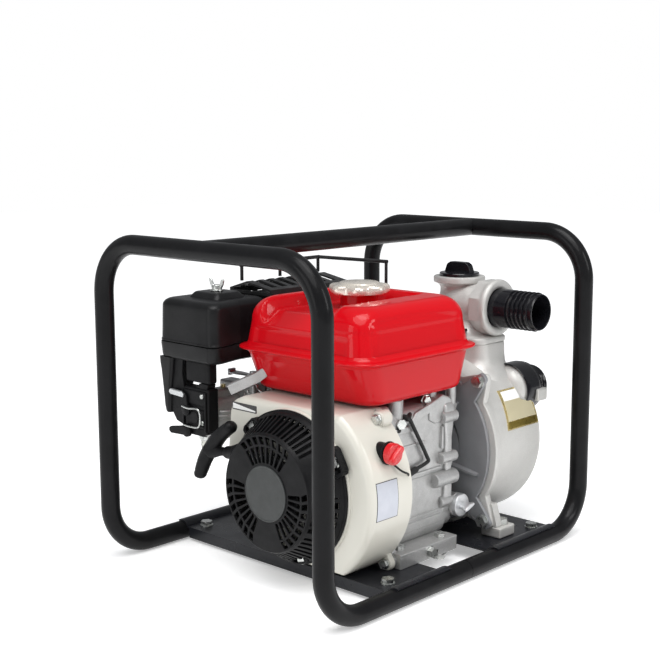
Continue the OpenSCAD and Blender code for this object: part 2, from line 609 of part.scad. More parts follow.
// ---- exhaust ----
module muffler() {
  color([0.10,0.10,0.10]) difference() {
    union() {
      ey(-38, 92) rr(-166, -98, 258, 312, 12);
      hull() { cz(-118, 62, 256, 259, 14); translate([-116,60,200]) cylinder(r=13, h=4); }
      hull() { translate([-116,60,190]) cylinder(r=13, h=12); translate([-106,44.6,165]) rotate([-90,0,0]) cylinder(r=13, h=4); }
      cy(-150, 280, 90, 104, 9);
    }
    ey(-36, 90) rr(-164, -100, 260, 310, 10);
    cy(-150, 280, 88, 106, 7);
  }
}
module muffler_guard() {
  color([0.05,0.05,0.05]) difference() {
    union() {
      ey(-45, 98) polygon([[-172,262],[-172,318],[-140,328],[-96,320],[-91,262],[-93,262],[-98,318],[-140,325.6],[-169.6,316],[-169.6,262]]);
      bx(-170, -93, -45, -43, 266, 316);
    }
    for (i=[0:6]) bx(-174, -167, -34+18*i, -24+18*i, 270, 310);
    for (i=[0:4]) bx(-164, -100, -46, -42, 272+9*i, 276+9*i);
    for (i=[0:6]) bx(-160, -105, -34+18*i, -24+18*i, 314, 330);
    bx(-162, -140, 92, 99, 262, 300);
  }
}
module rod(a, b, r) {
  d = b - a;
  L = norm(d);
  translate(a) rotate([0, acos(d[2]/L), atan2(d[1], d[0])]) cylinder(r=r, h=L);
}
module wire_guard() {
  color([0.05,0.05,0.05]) union() {
    cy(-150, 348, -46.5, 98.5, 2.5);
    for (y=[-44,24,96]) cz(-150, y, 328, 350.2, 2.2);
    rod([-150,96,348],[-38,110.2,348],2.4);
    cz(-40, 110, 262, 350.2, 2.1);
  }
}

// ---- pump ----
module pump_back_cover() {
  color([0.22,0.22,0.23]) difference() {
    union() {
      cy(drum_x, drum_z, 91, 98, 105.4);
      for (p=flange_bolts) hull() { cy(p[0], p[1], 91, 98, 10.5); cy(drum_x+(p[0]-drum_x)*0.72, drum_z+(p[1]-drum_z)*0.72, 91, 98, 16); }
      cy(crank_x, crank_z, 73, 92, 40);
      ey(64.3, 73.2) translate([crank_x,crank_z]) ring2(49, 32.5);
      for (a=[50:60:350]) translate([crank_x,0,crank_z]) rotate([0,-a,0]) bx(36, 92, 80, 92, -3, 3);
    }
    cy(crank_x, crank_z, 60, 100, 16);
    cy(crank_x, crank_z, 88, 99, 21);
    for (p=flange_bolts) cy(p[0], p[1], 88, 100, 4.3);
  }
}
module pump_casing() {
  color([0.85,0.84,0.80]) difference() {
    union() {
      cy(drum_x, drum_z, 98.3, 111, 105.6);
      for (p=flange_bolts) hull() { cy(p[0], p[1], 98.3, 111, 10.5); cy(drum_x+(p[0]-drum_x)*0.72, drum_z+(p[1]-drum_z)*0.72, 98.3, 111, 16); }
      cy(drum_x, drum_z, 108, drum_y1-8, drum_r);
      translate([drum_x,0,drum_z]) rotate([-90,0,0]) rotate_extrude() polygon([[0,drum_y1-9],[drum_r,drum_y1-9],[drum_r-2.4,drum_y1-3],[drum_r-8,drum_y1],[0,drum_y1]]);
      for (s=[-1,1]) bx(drum_x+s*103-15, drum_x+s*103+15, 100, 132, plate_top, 32);
      for (s=[-1,1]) bx(drum_x+s*95-8, drum_x+s*95+8, 100, 112, plate_top, 60);
      cz(52, 178, 200, 246, 31);
      cy(suc_x, suc_z, 160, 216, 32);
      cy(suc_x, suc_z, 216, 222, 29);
    }
    cy(drum_x, drum_z, 97, drum_y1-6, drum_r-5);
    cz(52, 178, 190, 248, 25);
    cy(suc_x, suc_z, 159, 210, 28.5);
    cy(suc_x, suc_z, 170, 224, 20.5);
    for (p=flange_bolts) cy(p[0], p[1], 97, 113, 4.05);
    for (p=pump_foot_bolts) cz(p[0], p[1], 10, 36, 4.4);
    for (s=[-1,1]) bx(drum_x+s*103-15.1, drum_x+s*103+15.1, 112, 132.1, 32, 46);
  }
  color([0.85,0.84,0.80]) cy(drum_x-30, 44, drum_y1-2, drum_y1+8, 11);
  color([0.72,0.60,0.30]) difference() {
    intersection() { cy(drum_x, drum_z, 124, 172, drum_r+0.8); bx(100, 160, 124, 172, 165, 206); }
    cy(drum_x, drum_z, 120, 180, drum_r);
  }
}
module volute() {
  color([0.35,0.35,0.36]) difference() {
    union() {
      cy(crank_x, crank_z, 102, 146, 84);
      cy(crank_x, crank_z, 146, 176, 30);
    }
    cy(crank_x, crank_z, 104, 141, 78);
    cy(crank_x, crank_z, 101, 105, 62);
    cy(crank_x, crank_z, 138, 177, 22);
    bx(crank_x-20, crank_x+24, 106, 140, crank_z+60, crank_z+90);
  }
}
module impeller() {
  color([0.4,0.4,0.42]) difference() {
    union() {
      cy(crank_x, crank_z, 110, 115, 62);
      cy(crank_x, crank_z, 104, 124, 19);
      for (a=[0:90:270]) translate([crank_x,0,crank_z]) rotate([0,a,0]) translate([16,114.5,-2]) rotate([0,24,0]) cube([42,18,4]);
    }
    cy(crank_x, crank_z, 103, 120.05, 12.52);
    cy(crank_x, crank_z, 118, 130, 5);
  }
}
module shaft_seal() { color([0.3,0.2,0.15]) difference() { union() { cy(crank_x, crank_z, 88.4, 98, 20.9); cy(crank_x, crank_z, 97, 103, 17); } cy(crank_x, crank_z, 88, 104, 12.6); } }
module check_valve() {
  color([0.08,0.08,0.08]) union() {
    cy(suc_x, suc_z-1, 205.7, 209.6, 24);
    cx(205.7, suc_z+22.5, suc_x-11, suc_x+11, 2.6);
    bx(suc_x-11, suc_x+11, 203.4, 208, suc_z+15, suc_z+22.5);
  }
}
module discharge_elbow() {
  color([0.87,0.86,0.82]) difference() {
    union() {
      cz(52, 178, 246.2, 254, 33);
      hull() { cx(dis_y, dis_z, 12, 59.6, 30.5); translate([36,180,250]) cylinder(r=23, h=3); }
      cz(21, dis_y, 296, 328, 28);
      cz(21, dis_y, 320, 328, 33.5);
      cx(dis_y, dis_z, 40, 66.6, 29);
    }
    cz(38, 180, 240, 290, 18);
    cx(dis_y, dis_z, 30, 70, 20.5);
    cz(21, dis_y, 290, 330, 22);
  }
}
module union_nut(h, lip, R) {
  difference() {
    union() { cylinder(r=R, h=h-4.5, $fn=8); cylinder(r=R*0.933, h=h); }
    translate([0,0,-1]) cylinder(r=29.1, h=lip+1);
    translate([0,0,lip-1]) cylinder(r=25.2, h=h);
  }
}
module union_nuts() {
  color([0.88,0.87,0.84]) {
    translate([60.4,dis_y,dis_z]) rotate([0,90,0]) rotate(22.5) union_nut(26.6, 11, 37.5);
    translate([suc_x,216.4,suc_z]) rotate([-90,0,0]) rotate(22.5) union_nut(14.6, 9.6, 34.5);
  }
}
// hose barb: captive flange, plain land from z1 to z2, ribs to the tip at L
module barb(z1, z2, L) {
  n = max(0, floor((L-z2-4)/6));
  rotate_extrude() polygon(concat([[barb_bore_r,0],[28.6,0],[28.6,3.4],[barb_r-1,3.5],[barb_r-1,z1],[barb_r,z1],[barb_r,z2]],
    [for (i=[0:1:n-1]) each [[barb_r-1.6, z2+0.1+6*i],[barb_r-0.2, z2+5+6*i]]],
    [[barb_r-1.6, L-2.5],[barb_r-3, L],[barb_bore_r,L]]));
}
module hose_barbs() {
  color([0.05,0.05,0.05]) {
    translate([67,dis_y,dis_z]) rotate([0,90,0]) barb(20.5, 43.5, 83);
    translate([suc_x,222.3,suc_z]) rotate([-90,0,0]) barb(9.2, 20.7, 23.7);
  }
}
module filler_cap() {
  color([0.05,0.05,0.05]) union() { cz(21, dis_y, 328.2, 333, 26); cz(21, dis_y, 316, 329, 21.5); hull() { translate([0,dis_y-4,332]) cube([42,8,1]); translate([5,dis_y-4,345]) cube([32,8,1]); } }
}

front_hoop();
rear_hoop();
handle_bar();
rail_spigots();
base_plate();
m8_bolts();
m8_nuts();
m6_bolts();
crankcase();
side_cover();
cylinder_head();
valve_cover();
spark_plug();
plug_cap();
crankshaft();
main_bearings();
oil_seals();
connecting_rod();
piston();
wrist_pin();
camshaft();
flywheel();
cooling_fan();
fan_cover();
recoil_housing();
rope_reel();
recoil_spring();
starter_rope();
pull_handle();
centre_label();
stop_switch();
stop_knob();
switch_cable();
dipstick();
oil_drain_bolt();
fuel_tank();
fuel_cap();
carburettor();
sediment_cup();
throttle_plate();
fuel_lever();
choke_lever();
throttle_lever();
air_cleaner_case();
air_cleaner_cover();
filter_element();
wing_nut();
muffler();
muffler_guard();
wire_guard();
pump_back_cover();
pump_casing();
volute();
impeller();
shaft_seal();
check_valve();
discharge_elbow();
union_nuts();
hose_barbs();
filler_cap();
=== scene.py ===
"""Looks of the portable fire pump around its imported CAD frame. Lengths in the helpers are millimetres."""
import math
import random

import bmesh
import bpy
from mathutils import Matrix, Vector


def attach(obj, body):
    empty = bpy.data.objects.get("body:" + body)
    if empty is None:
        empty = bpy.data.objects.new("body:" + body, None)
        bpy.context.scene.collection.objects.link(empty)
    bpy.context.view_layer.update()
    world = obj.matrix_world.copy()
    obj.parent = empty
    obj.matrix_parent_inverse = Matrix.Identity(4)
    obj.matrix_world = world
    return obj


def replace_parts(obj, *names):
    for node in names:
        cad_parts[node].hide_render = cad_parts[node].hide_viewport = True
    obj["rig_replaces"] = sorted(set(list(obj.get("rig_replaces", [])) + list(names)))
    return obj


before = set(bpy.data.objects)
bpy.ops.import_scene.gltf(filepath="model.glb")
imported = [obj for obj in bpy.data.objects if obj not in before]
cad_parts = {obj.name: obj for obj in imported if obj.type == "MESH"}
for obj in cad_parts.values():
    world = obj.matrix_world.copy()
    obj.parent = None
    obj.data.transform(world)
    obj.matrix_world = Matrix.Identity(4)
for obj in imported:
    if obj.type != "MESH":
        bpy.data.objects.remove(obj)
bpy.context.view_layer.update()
S = 0.001
rnd = random.Random(11)
scene = bpy.context.scene
pi = math.pi


# ---------------------------------------------------------------- camera, light, floor
def aim(az, el, roll):
    f = Vector((-math.sin(az) * math.cos(el), math.cos(az) * math.cos(el), -math.sin(el)))
    right = f.cross(Vector((0, 0, 1))).normalized()
    up = right.cross(f)
    c, s = math.cos(roll), math.sin(roll)
    r2, u2 = c * right + s * up, -s * right + c * up
    return Matrix((r2, u2, -f)).transposed()


cam_data = bpy.data.cameras.new("camera")
cam_data.sensor_width = 36.0
cam_data.lens = 68.11
cam = bpy.data.objects.new("camera", cam_data)
scene.collection.objects.link(cam)
cam.matrix_world = Matrix.Translation((1.0208, -1.1182, 0.5155)) @ aim(math.radians(43.41), math.radians(9.03), math.radians(-0.15)).to_4x4()
cam_data.clip_start, cam_data.clip_end = 0.02, 50
scene.camera = cam

world = bpy.data.worlds.new("studio")
world.use_nodes = True
wt = world.node_tree
bg = wt.nodes["Background"]
bg.inputs[0].default_value = (0.95, 0.97, 1.0, 1)
bg.inputs[1].default_value = 0.36
white = wt.nodes.new("ShaderNodeBackground")
white.inputs[0].default_value = (1, 1, 1, 1)
white.inputs[1].default_value = 1.0
path_ = wt.nodes.new("ShaderNodeLightPath")
both = wt.nodes.new("ShaderNodeMixShader")
wt.links.new(path_.outputs["Is Camera Ray"], both.inputs[0])
wt.links.new(bg.outputs[0], both.inputs[1])
wt.links.new(white.outputs[0], both.inputs[2])
wt.links.new(both.outputs[0], wt.nodes["World Output"].inputs[0])
scene.world = world
scene.view_settings.view_transform = "Standard"
sun = bpy.data.objects.new("sun", bpy.data.lights.new("sun", "SUN"))
sun.data.energy, sun.data.angle = 1.9, math.radians(50)
sun.rotation_mode = "QUATERNION"
sun.rotation_quaternion = Vector((-0.25, 0.45, -1.0)).to_track_quat("-Z", "Y")
scene.collection.objects.link(sun)


def area(name, loc, look, size, size_y, power):
    d = bpy.data.lights.new(name, "AREA")
    d.shape, d.size, d.size_y, d.energy = "RECTANGLE", size, size_y, power
    o = bpy.data.objects.new(name, d)
    scene.collection.objects.link(o)
    o.location = loc
    o.rotation_mode = "QUATERNION"
    o.rotation_quaternion = (Vector(look) - Vector(loc)).to_track_quat("-Z", "Y")
    return o


area("key_top", (0.35, -0.15, 1.9), (0.02, 0.0, 0.25), 0.9, 0.9, 11)
area("key_right", (1.9, 0.55, 1.25), (0.05, 0.05, 0.2), 0.5, 1.1, 12)
area("fill_front", (-0.35, -2.0, 0.75), (0.0, 0.0, 0.2), 0.8, 1.0, 6)

me = bpy.data.meshes.new("floor")
me.from_pydata([(-6, -6, 0), (6, -6, 0), (6, 6, 0), (-6, 6, 0)], [], [(0, 1, 2, 3)])
floor = bpy.data.objects.new("floor", me)
scene.collection.objects.link(floor)


# ---------------------------------------------------------------- materials
MATS = {}


def material(name, color, rough, metal=0.0, coat=0.0, coat_rough=0.05, spec=0.5, bumps=(), cvar=None, rvar=None, cells=None, alpha=None, transmission=0.0, brushed=None, streak=None):
    """color: base. bumps: (scale, strength, distance mm, detail). cvar: (scale, other colour, amount). rvar: (scale, low, high)."""
    m = bpy.data.materials.new(name)
    m.use_nodes = True
    nt = m.node_tree
    n, l = nt.nodes, nt.links
    p = n["Principled BSDF"]
    p.inputs["Base Color"].default_value = (*color, 1)
    p.inputs["Roughness"].default_value = rough
    p.inputs["Metallic"].default_value = metal
    p.inputs["Coat Weight"].default_value = coat
    p.inputs["Coat Roughness"].default_value = coat_rough
    p.inputs["Specular IOR Level"].default_value = spec
    p.inputs["Transmission Weight"].default_value = transmission
    tc = n.new("ShaderNodeTexCoord")
    if cvar:
        t = n.new("ShaderNodeTexNoise")
        t.inputs["Scale"].default_value = cvar[0]
        t.inputs["Detail"].default_value = 5
        t.inputs["Roughness"].default_value = 0.6
        l.new(tc.outputs["Object"], t.inputs["Vector"])
        r = n.new("ShaderNodeMapRange")
        r.inputs["From Min"].default_value, r.inputs["From Max"].default_value = 0.35, 0.68
        r.inputs["To Min"].default_value, r.inputs["To Max"].default_value = 0.0, cvar[2]
        l.new(t.outputs["Fac"], r.inputs["Value"])
        mix = n.new("ShaderNodeMix")
        mix.data_type = "RGBA"
        mix.inputs["A"].default_value = (*color, 1)
        mix.inputs["B"].default_value = (*cvar[1], 1)
        l.new(r.outputs["Result"], mix.inputs["Factor"])
        last = mix.outputs["Result"]
        if cells:
            v = n.new("ShaderNodeTexVoronoi")
            v.inputs["Scale"].default_value = cells[0]
            l.new(tc.outputs["Object"], v.inputs["Vector"])
            r2 = n.new("ShaderNodeMapRange")
            r2.inputs["To Min"].default_value, r2.inputs["To Max"].default_value = 0.0, cells[2]
            l.new(v.outputs["Distance"], r2.inputs["Value"])
            mix2 = n.new("ShaderNodeMix")
            mix2.data_type = "RGBA"
            l.new(last, mix2.inputs["A"])
            mix2.inputs["B"].default_value = (*cells[1], 1)
            l.new(r2.outputs["Result"], mix2.inputs["Factor"])
            last = mix2.outputs["Result"]
        l.new(last, p.inputs["Base Color"])
    if rvar:
        t = n.new("ShaderNodeTexNoise")
        t.inputs["Scale"].default_value = rvar[0]
        t.inputs["Detail"].default_value = 6
        src = tc.outputs["Object"]
        if brushed:
            mp = n.new("ShaderNodeMapping")
            mp.inputs["Scale"].default_value = brushed
            l.new(src, mp.inputs["Vector"])
            src = mp.outputs["Vector"]
        l.new(src, t.inputs["Vector"])
        r = n.new("ShaderNodeMapRange")
        r.inputs["From Min"].default_value, r.inputs["From Max"].default_value = 0.3, 0.7
        r.inputs["To Min"].default_value, r.inputs["To Max"].default_value = rvar[1], rvar[2]
        l.new(t.outputs["Fac"], r.inputs["Value"])
        l.new(r.outputs["Result"], p.inputs["Roughness"])
    normal = None
    for sc, st, dist, det in bumps:
        t = n.new("ShaderNodeTexNoise")
        t.inputs["Scale"].default_value = sc
        t.inputs["Detail"].default_value = det
        l.new(tc.outputs["Object"], t.inputs["Vector"])
        b = n.new("ShaderNodeBump")
        b.inputs["Strength"].default_value = st
        b.inputs["Distance"].default_value = dist * S
        l.new(t.outputs["Fac"], b.inputs["Height"])
        if normal:
            l.new(normal, b.inputs["Normal"])
        normal = b.outputs["Normal"]
    if normal:
        l.new(normal, p.inputs["Normal"])
    MATS[name] = m
    return m


material("m_floor", (0.95, 0.95, 0.95), 0.5, cvar=(2, (0.93, 0.93, 0.93), 0.5))
MATS["m_floor"].node_tree.nodes["Principled BSDF"].inputs["Emission Color"].default_value = (1, 1, 1, 1)
MATS["m_floor"].node_tree.nodes["Principled BSDF"].inputs["Emission Strength"].default_value = 0.34
floor.data.materials.append(MATS["m_floor"])
material("m_frame", (0.006, 0.006, 0.0065), 0.34, coat=0.10, coat_rough=0.08, spec=0.08, bumps=[(900, 0.10, 0.25, 3), (90, 0.05, 0.4, 2)], cvar=(30, (0.011, 0.011, 0.012), 0.6), rvar=(60, 0.28, 0.42))
material("m_plate", (0.009, 0.0095, 0.012), 0.28, coat=0.12, coat_rough=0.15, spec=0.18, bumps=[(700, 0.12, 0.3, 3), (14, 0.25, 1.2, 2)], cvar=(24, (0.018, 0.019, 0.023), 0.7), rvar=(35, 0.24, 0.40))
material("m_zinc", (0.62, 0.63, 0.62), 0.34, metal=1, bumps=[(1500, 0.06, 0.08, 3)], cvar=(120, (0.60, 0.62, 0.58), 0.7), rvar=(240, 0.2, 0.42))
material("m_alu", (0.46, 0.46, 0.455), 0.42, metal=0.75, bumps=[(1500, 0.45, 0.22, 4), (260, 0.3, 0.5, 3)], cvar=(45, (0.36, 0.36, 0.355), 0.6), rvar=(90, 0.38, 0.58), cells=(900, (0.72, 0.72, 0.71), 0.35))
material("m_cream", (0.65, 0.635, 0.565), 0.34, coat=0.35, coat_rough=0.12, bumps=[(700, 0.10, 0.3, 3), (60, 0.06, 0.5, 2)], cvar=(16, (0.63, 0.61, 0.54), 0.5), rvar=(50, 0.28, 0.40))
material("m_pump", (0.53, 0.525, 0.505), 0.44, metal=0.35, bumps=[(1300, 0.55, 0.25, 4), (180, 0.30, 0.5, 3)], cvar=(36, (0.50, 0.49, 0.465), 0.6), rvar=(80, 0.36, 0.56), cells=(700, (0.66, 0.655, 0.63), 0.4))
material("m_backcover", (0.24, 0.245, 0.255), 0.44, metal=0.35, bumps=[(1200, 0.55, 0.3, 4), (160, 0.3, 0.6, 3)], cvar=(40, (0.31, 0.315, 0.325), 0.6), rvar=(80, 0.42, 0.6))
material("m_steel", (0.56, 0.56, 0.57), 0.28, metal=1, bumps=[(1600, 0.2, 0.12, 3)], cvar=(80, (0.44, 0.44, 0.45), 0.5), rvar=(300, 0.2, 0.36), brushed=(1, 12, 12))
material("m_iron", (0.22, 0.22, 0.23), 0.55, metal=0.8, bumps=[(900, 0.5, 0.3, 4)], cvar=(50, (0.14, 0.13, 0.13), 0.7), rvar=(90, 0.45, 0.65))
material("m_plastic", (0.006, 0.006, 0.0065), 0.34, spec=0.2, bumps=[(1900, 0.30, 0.18, 3), (240, 0.05, 0.4, 2)], cvar=(40, (0.012, 0.012, 0.013), 0.7), rvar=(70, 0.30, 0.43))
material("m_plastic_fine", (0.005, 0.005, 0.0055), 0.42, spec=0.14, bumps=[(2400, 0.4, 0.16, 3)], cvar=(60, (0.011, 0.011, 0.012), 0.7), rvar=(90, 0.36, 0.5))
material("m_gloss", (0.006, 0.006, 0.008), 0.14, coat=0.15, coat_rough=0.08, spec=0.2, bumps=[(260, 0.05, 0.4, 2)], cvar=(60, (0.012, 0.012, 0.014), 0.6), rvar=(60, 0.10, 0.22))
material("m_label", (0.030, 0.033, 0.032), 0.42, metal=0.2, bumps=[(2600, 0.3, 0.1, 2)], cvar=(90, (0.045, 0.048, 0.048), 0.6), rvar=(120, 0.36, 0.5))
material("m_red", (0.54, 0.002, 0.007), 0.36, coat=0.36, coat_rough=0.04, spec=0.06, bumps=[(700, 0.04, 0.15, 2)], cvar=(60, (0.55, 0.002, 0.006), 0.6), rvar=(60, 0.30, 0.40))
material("m_chrome", (0.84, 0.78, 0.69), 0.34, metal=0.55, bumps=[(1500, 0.02, 0.05, 2)], cvar=(60, (0.80, 0.75, 0.67), 0.4), rvar=(160, 0.2, 0.3))
material("m_redplastic", (0.58, 0.008, 0.012), 0.30, coat=0.3, coat_rough=0.2, bumps=[(1500, 0.12, 0.15, 2)], cvar=(90, (0.66, 0.02, 0.025), 0.6), rvar=(90, 0.24, 0.38))
material("m_rubber", (0.012, 0.012, 0.012), 0.55, spec=0.3, bumps=[(1400, 0.35, 0.2, 3)], cvar=(80, (0.022, 0.022, 0.022), 0.6), rvar=(80, 0.45, 0.65))
material("m_rope", (0.62, 0.62, 0.56), 0.8, bumps=[(900, 0.8, 0.6, 3)], cvar=(500, (0.35, 0.35, 0.33), 0.7))
material("m_foam", (0.60, 0.52, 0.28), 0.9, bumps=[(800, 1.0, 1.0, 5)], cvar=(500, (0.42, 0.36, 0.18), 0.8))
material("m_cup", (0.86, 0.87, 0.82), 0.16, spec=0.5, transmission=0.75, bumps=[(160, 0.05, 0.4, 2)], cvar=(60, (0.80, 0.80, 0.70), 0.6), rvar=(60, 0.12, 0.24))
material("m_brass", (0.78, 0.62, 0.26), 0.34, metal=0.8, bumps=[(1500, 0.04, 0.06, 2)], cvar=(70, (0.88, 0.75, 0.42), 0.7), rvar=(200, 0.16, 0.32))
material("m_brass_dark", (0.42, 0.31, 0.07), 0.35, metal=1, bumps=[(900, 0.2, 0.12, 3)], cvar=(160, (0.30, 0.22, 0.05), 0.7), rvar=(200, 0.25, 0.42))
material("m_silver", (0.66, 0.67, 0.68), 0.38, metal=0.8, bumps=[(1500, 0.05, 0.08, 2)], cvar=(90, (0.60, 0.61, 0.62), 0.6), rvar=(200, 0.32, 0.46))
material("m_sticker", (0.52, 0.54, 0.60), 0.38, metal=0.35, bumps=[(1500, 0.12, 0.1, 2)], cvar=(60, (0.60, 0.62, 0.67), 0.6), rvar=(80, 0.32, 0.44))
material("m_sticker_dark", (0.03, 0.03, 0.03), 0.4, bumps=[(1500, 0.12, 0.1, 2)], cvar=(80, (0.05, 0.05, 0.05), 0.6), rvar=(80, 0.32, 0.46))
material("m_sticker_white", (0.85, 0.85, 0.83), 0.4, bumps=[(1500, 0.12, 0.1, 2)], cvar=(80, (0.8, 0.8, 0.78), 0.6), rvar=(80, 0.32, 0.46))
material("m_heat", (0.014, 0.014, 0.014), 0.42, metal=0.2, spec=0.3, bumps=[(1100, 0.4, 0.25, 3)], cvar=(60, (0.03, 0.03, 0.032), 0.7), rvar=(70, 0.3, 0.55))

NODE_MAT = {
    "m_frame": "front_hoop rear_hoop handle_bar rail_spigots",
    "m_plate": "base_plate",
    "m_zinc": "m8_bolts m8_nuts m6_bolts oil_drain_bolt wing_nut spark_plug",
    "m_alu": "crankcase side_cover cylinder_head carburettor",
    "m_cream": "fan_cover valve_cover",
    "m_pump": "pump_casing discharge_elbow union_nuts",
    "m_backcover": "pump_back_cover",
    "m_steel": "crankshaft main_bearings wrist_pin camshaft connecting_rod piston recoil_spring",
    "m_iron": "flywheel impeller volute",
    "m_plastic": "recoil_housing air_cleaner_case air_cleaner_cover cooling_fan rope_reel pull_handle stop_switch fuel_lever",
    "m_gloss": "hose_barbs filler_cap",
    "m_label": "centre_label",
    "m_red": "fuel_tank",
    "m_chrome": "fuel_cap",
    "m_redplastic": "stop_knob",
    "m_rubber": "oil_seals plug_cap check_valve switch_cable shaft_seal",
    "m_rope": "starter_rope",
    "m_foam": "filter_element",
    "m_cup": "sediment_cup",
    "m_brass": "throttle_plate",
    "m_silver": "choke_lever throttle_lever dipstick",
    "m_heat": "muffler muffler_guard wire_guard",
}
for mname, nodes in NODE_MAT.items():
    for nd in nodes.split():
        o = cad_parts[nd]
        o.data.materials.clear()
        o.data.materials.append(MATS[mname])


# ---------------------------------------------------------------- mesh helpers (mm in, metres out)
def piece(name, verts, faces, mat, body="root", replaces=(), bevel=0, seg=2, angle=32, limit=30, solid=0, sub=0, keep_normals=True):
    me = bpy.data.meshes.new(name)
    me.from_pydata([(v[0] * S, v[1] * S, v[2] * S) for v in verts], [], faces)
    me.validate()
    bm = bmesh.new()
    bm.from_mesh(me)
    bmesh.ops.remove_doubles(bm, verts=bm.verts, dist=1e-6)
    bmesh.ops.recalc_face_normals(bm, faces=bm.faces)
    bm.to_mesh(me)
    bm.free()
    return finish_piece(name, me, mat, body, replaces, bevel, seg, angle, limit, solid, sub)


def finish_piece(name, me, mat, body="root", replaces=(), bevel=0, seg=2, angle=32, limit=30, solid=0, sub=0):
    me.materials.clear()
    me.materials.append(MATS[mat])
    o = bpy.data.objects.new(name, me)
    scene.collection.objects.link(o)
    if solid:
        m = o.modifiers.new("solid", "SOLIDIFY")
        m.thickness, m.offset = solid * S, -1
    if bevel:
        m = o.modifiers.new("bevel", "BEVEL")
        m.width, m.segments, m.limit_method, m.angle_limit = bevel * S, seg, "ANGLE", math.radians(limit)
        m.use_clamp_overlap = True
    if sub:
        m = o.modifiers.new("sub", "SUBSURF")
        m.levels = m.render_levels = sub
    if solid or bevel or sub:
        dg = bpy.context.evaluated_depsgraph_get()
        new = bpy.data.meshes.new_from_object(o.evaluated_get(dg))
        o.modifiers.clear()
        o.data = new
        new.name = name
    o.data.shade_smooth()
    o.data.set_sharp_from_angle(angle=math.radians(angle))
    m = o.modifiers.new("normals", "WEIGHTED_NORMAL")
    m.keep_sharp = True
    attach(o, body)
    if replaces:
        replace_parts(o, *replaces)
    return o


def axes(axis):
    """Local (u, v, w) directions of a profile plane: w along the axis, u and v as seen from outside."""
    return {"x": (Vector((0, 1, 0)), Vector((0, 0, 1)), Vector((1, 0, 0))),
            "y": (Vector((1, 0, 0)), Vector((0, 0, 1)), Vector((0, -1, 0))),
            "z": (Vector((1, 0, 0)), Vector((0, 1, 0)), Vector((0, 0, 1)))}[axis]


def plate(name, outer, holes, axis, a, b, mat, edge=0.6, res=2, origin=(0, 0), body="root", replaces=(), angle=35, mtx=None):
    """A flat plate with holes, its edges rounded, between a and b along the axis."""
    cu = bpy.data.curves.new(name, "CURVE")
    cu.dimensions, cu.fill_mode = "2D", "BOTH"
    cu.extrude = max(abs(b - a) / 2 * S - edge * S, 1e-6)
    cu.bevel_depth, cu.bevel_resolution, cu.offset = edge * S, res, -edge * S
    for ring in [outer] + list(holes):
        sp = cu.splines.new("POLY")
        sp.points.add(len(ring) - 1)
        for p, q in zip(sp.points, ring):
            p.co = ((q[0] + origin[0]) * S, (q[1] + origin[1]) * S, 0, 1)
        sp.use_cyclic_u = True
    o = bpy.data.objects.new(name + "_c", cu)
    scene.collection.objects.link(o)
    dg = bpy.context.evaluated_depsgraph_get()
    me = bpy.data.meshes.new_from_object(o.evaluated_get(dg))
    bpy.data.objects.remove(o)
    me.name = name
    if mtx is None:
        u, v, w = axes(axis)
        mtx = Matrix((u, v, w)).transposed().to_4x4()
        mid = (a + b) / 2 * S
        mtx.translation = Vector([mid if axis == c else 0 for c in "xyz"])
    me.transform(mtx)
    bm = bmesh.new()
    bm.from_mesh(me)
    bmesh.ops.remove_doubles(bm, verts=bm.verts, dist=1e-6)
    bmesh.ops.recalc_face_normals(bm, faces=bm.faces)
    bm.to_mesh(me)
    bm.free()
    return finish_piece(name, me, mat, body, replaces, angle=angle)


def ringed(rings, close=True, cap0=True, cap1=True):
    """Verts and faces of a loft through rings of equal length."""
    n = len(rings[0])
    verts = [p for r in rings for p in r]
    faces = []
    for i in range(len(rings) - 1):
        for j in range(n if close else n - 1):
            k = (j + 1) % n
            faces.append((i * n + j, i * n + k, (i + 1) * n + k, (i + 1) * n + j))
    if cap0:
        faces.append(tuple(range(n))[::-1])
    if cap1:
        faces.append(tuple((len(rings) - 1) * n + j for j in range(n)))
    return verts, faces


def frame_of(d):
    d = Vector(d).normalized()
    a = Vector((0, 0, 1)) if abs(d.z) < 0.9 else Vector((1, 0, 0))
    u = a.cross(d).normalized()
    return u, d.cross(u), d


def lathe_vf(profile, origin, direction, n=64, a0=0.0, a1=2 * pi):
    """profile: (radius, height) along the direction; closed if the first radius and last are 0 or it loops."""
    u, v, d = frame_of(direction)
    o = Vector(origin)
    full = abs(a1 - a0 - 2 * pi) < 1e-6
    m = n if full else n + 1
    rings = []
    for i in range(m):
        t = a0 + (a1 - a0) * i / n
        e = u * math.cos(t) + v * math.sin(t)
        rings.append([o + e * r + d * h for r, h in profile])
    k = len(profile)
    verts = [p for r in rings for p in r]
    faces = []
    for i in range(n):
        j = (i + 1) % m
        for q in range(k - 1):
            faces.append((i * k + q, j * k + q, j * k + q + 1, i * k + q + 1))
    return verts, faces


def lathe(name, profile, origin, direction, mat, n=64, body="root", replaces=(), bevel=0, seg=2, angle=32, limit=28):
    v, f = lathe_vf(profile, origin, direction, n)
    return piece(name, v, f, mat, body, replaces, bevel=bevel, seg=seg, angle=angle, limit=limit)


def spline(points, n=8, closed=False):
    """Catmull-Rom through the points."""
    P_ = [Vector(p) for p in points]
    out = []
    m = len(P_)
    for i in range(m if closed else m - 1):
        p0, p1 = P_[(i - 1) % m] if closed or i else P_[0] * 2 - P_[1], P_[i]
        p2 = P_[(i + 1) % m]
        p3 = P_[(i + 2) % m] if closed or i + 2 < m else P_[-1] * 2 - P_[-2]
        for k in range(n):
            t = k / n
            out.append(0.5 * ((2 * p1) + (p2 - p0) * t + (2 * p0 - 5 * p1 + 4 * p2 - p3) * t * t + (3 * p1 - p0 - 3 * p2 + p3) * t ** 3))
    if not closed:
        out.append(P_[-1])
    return out


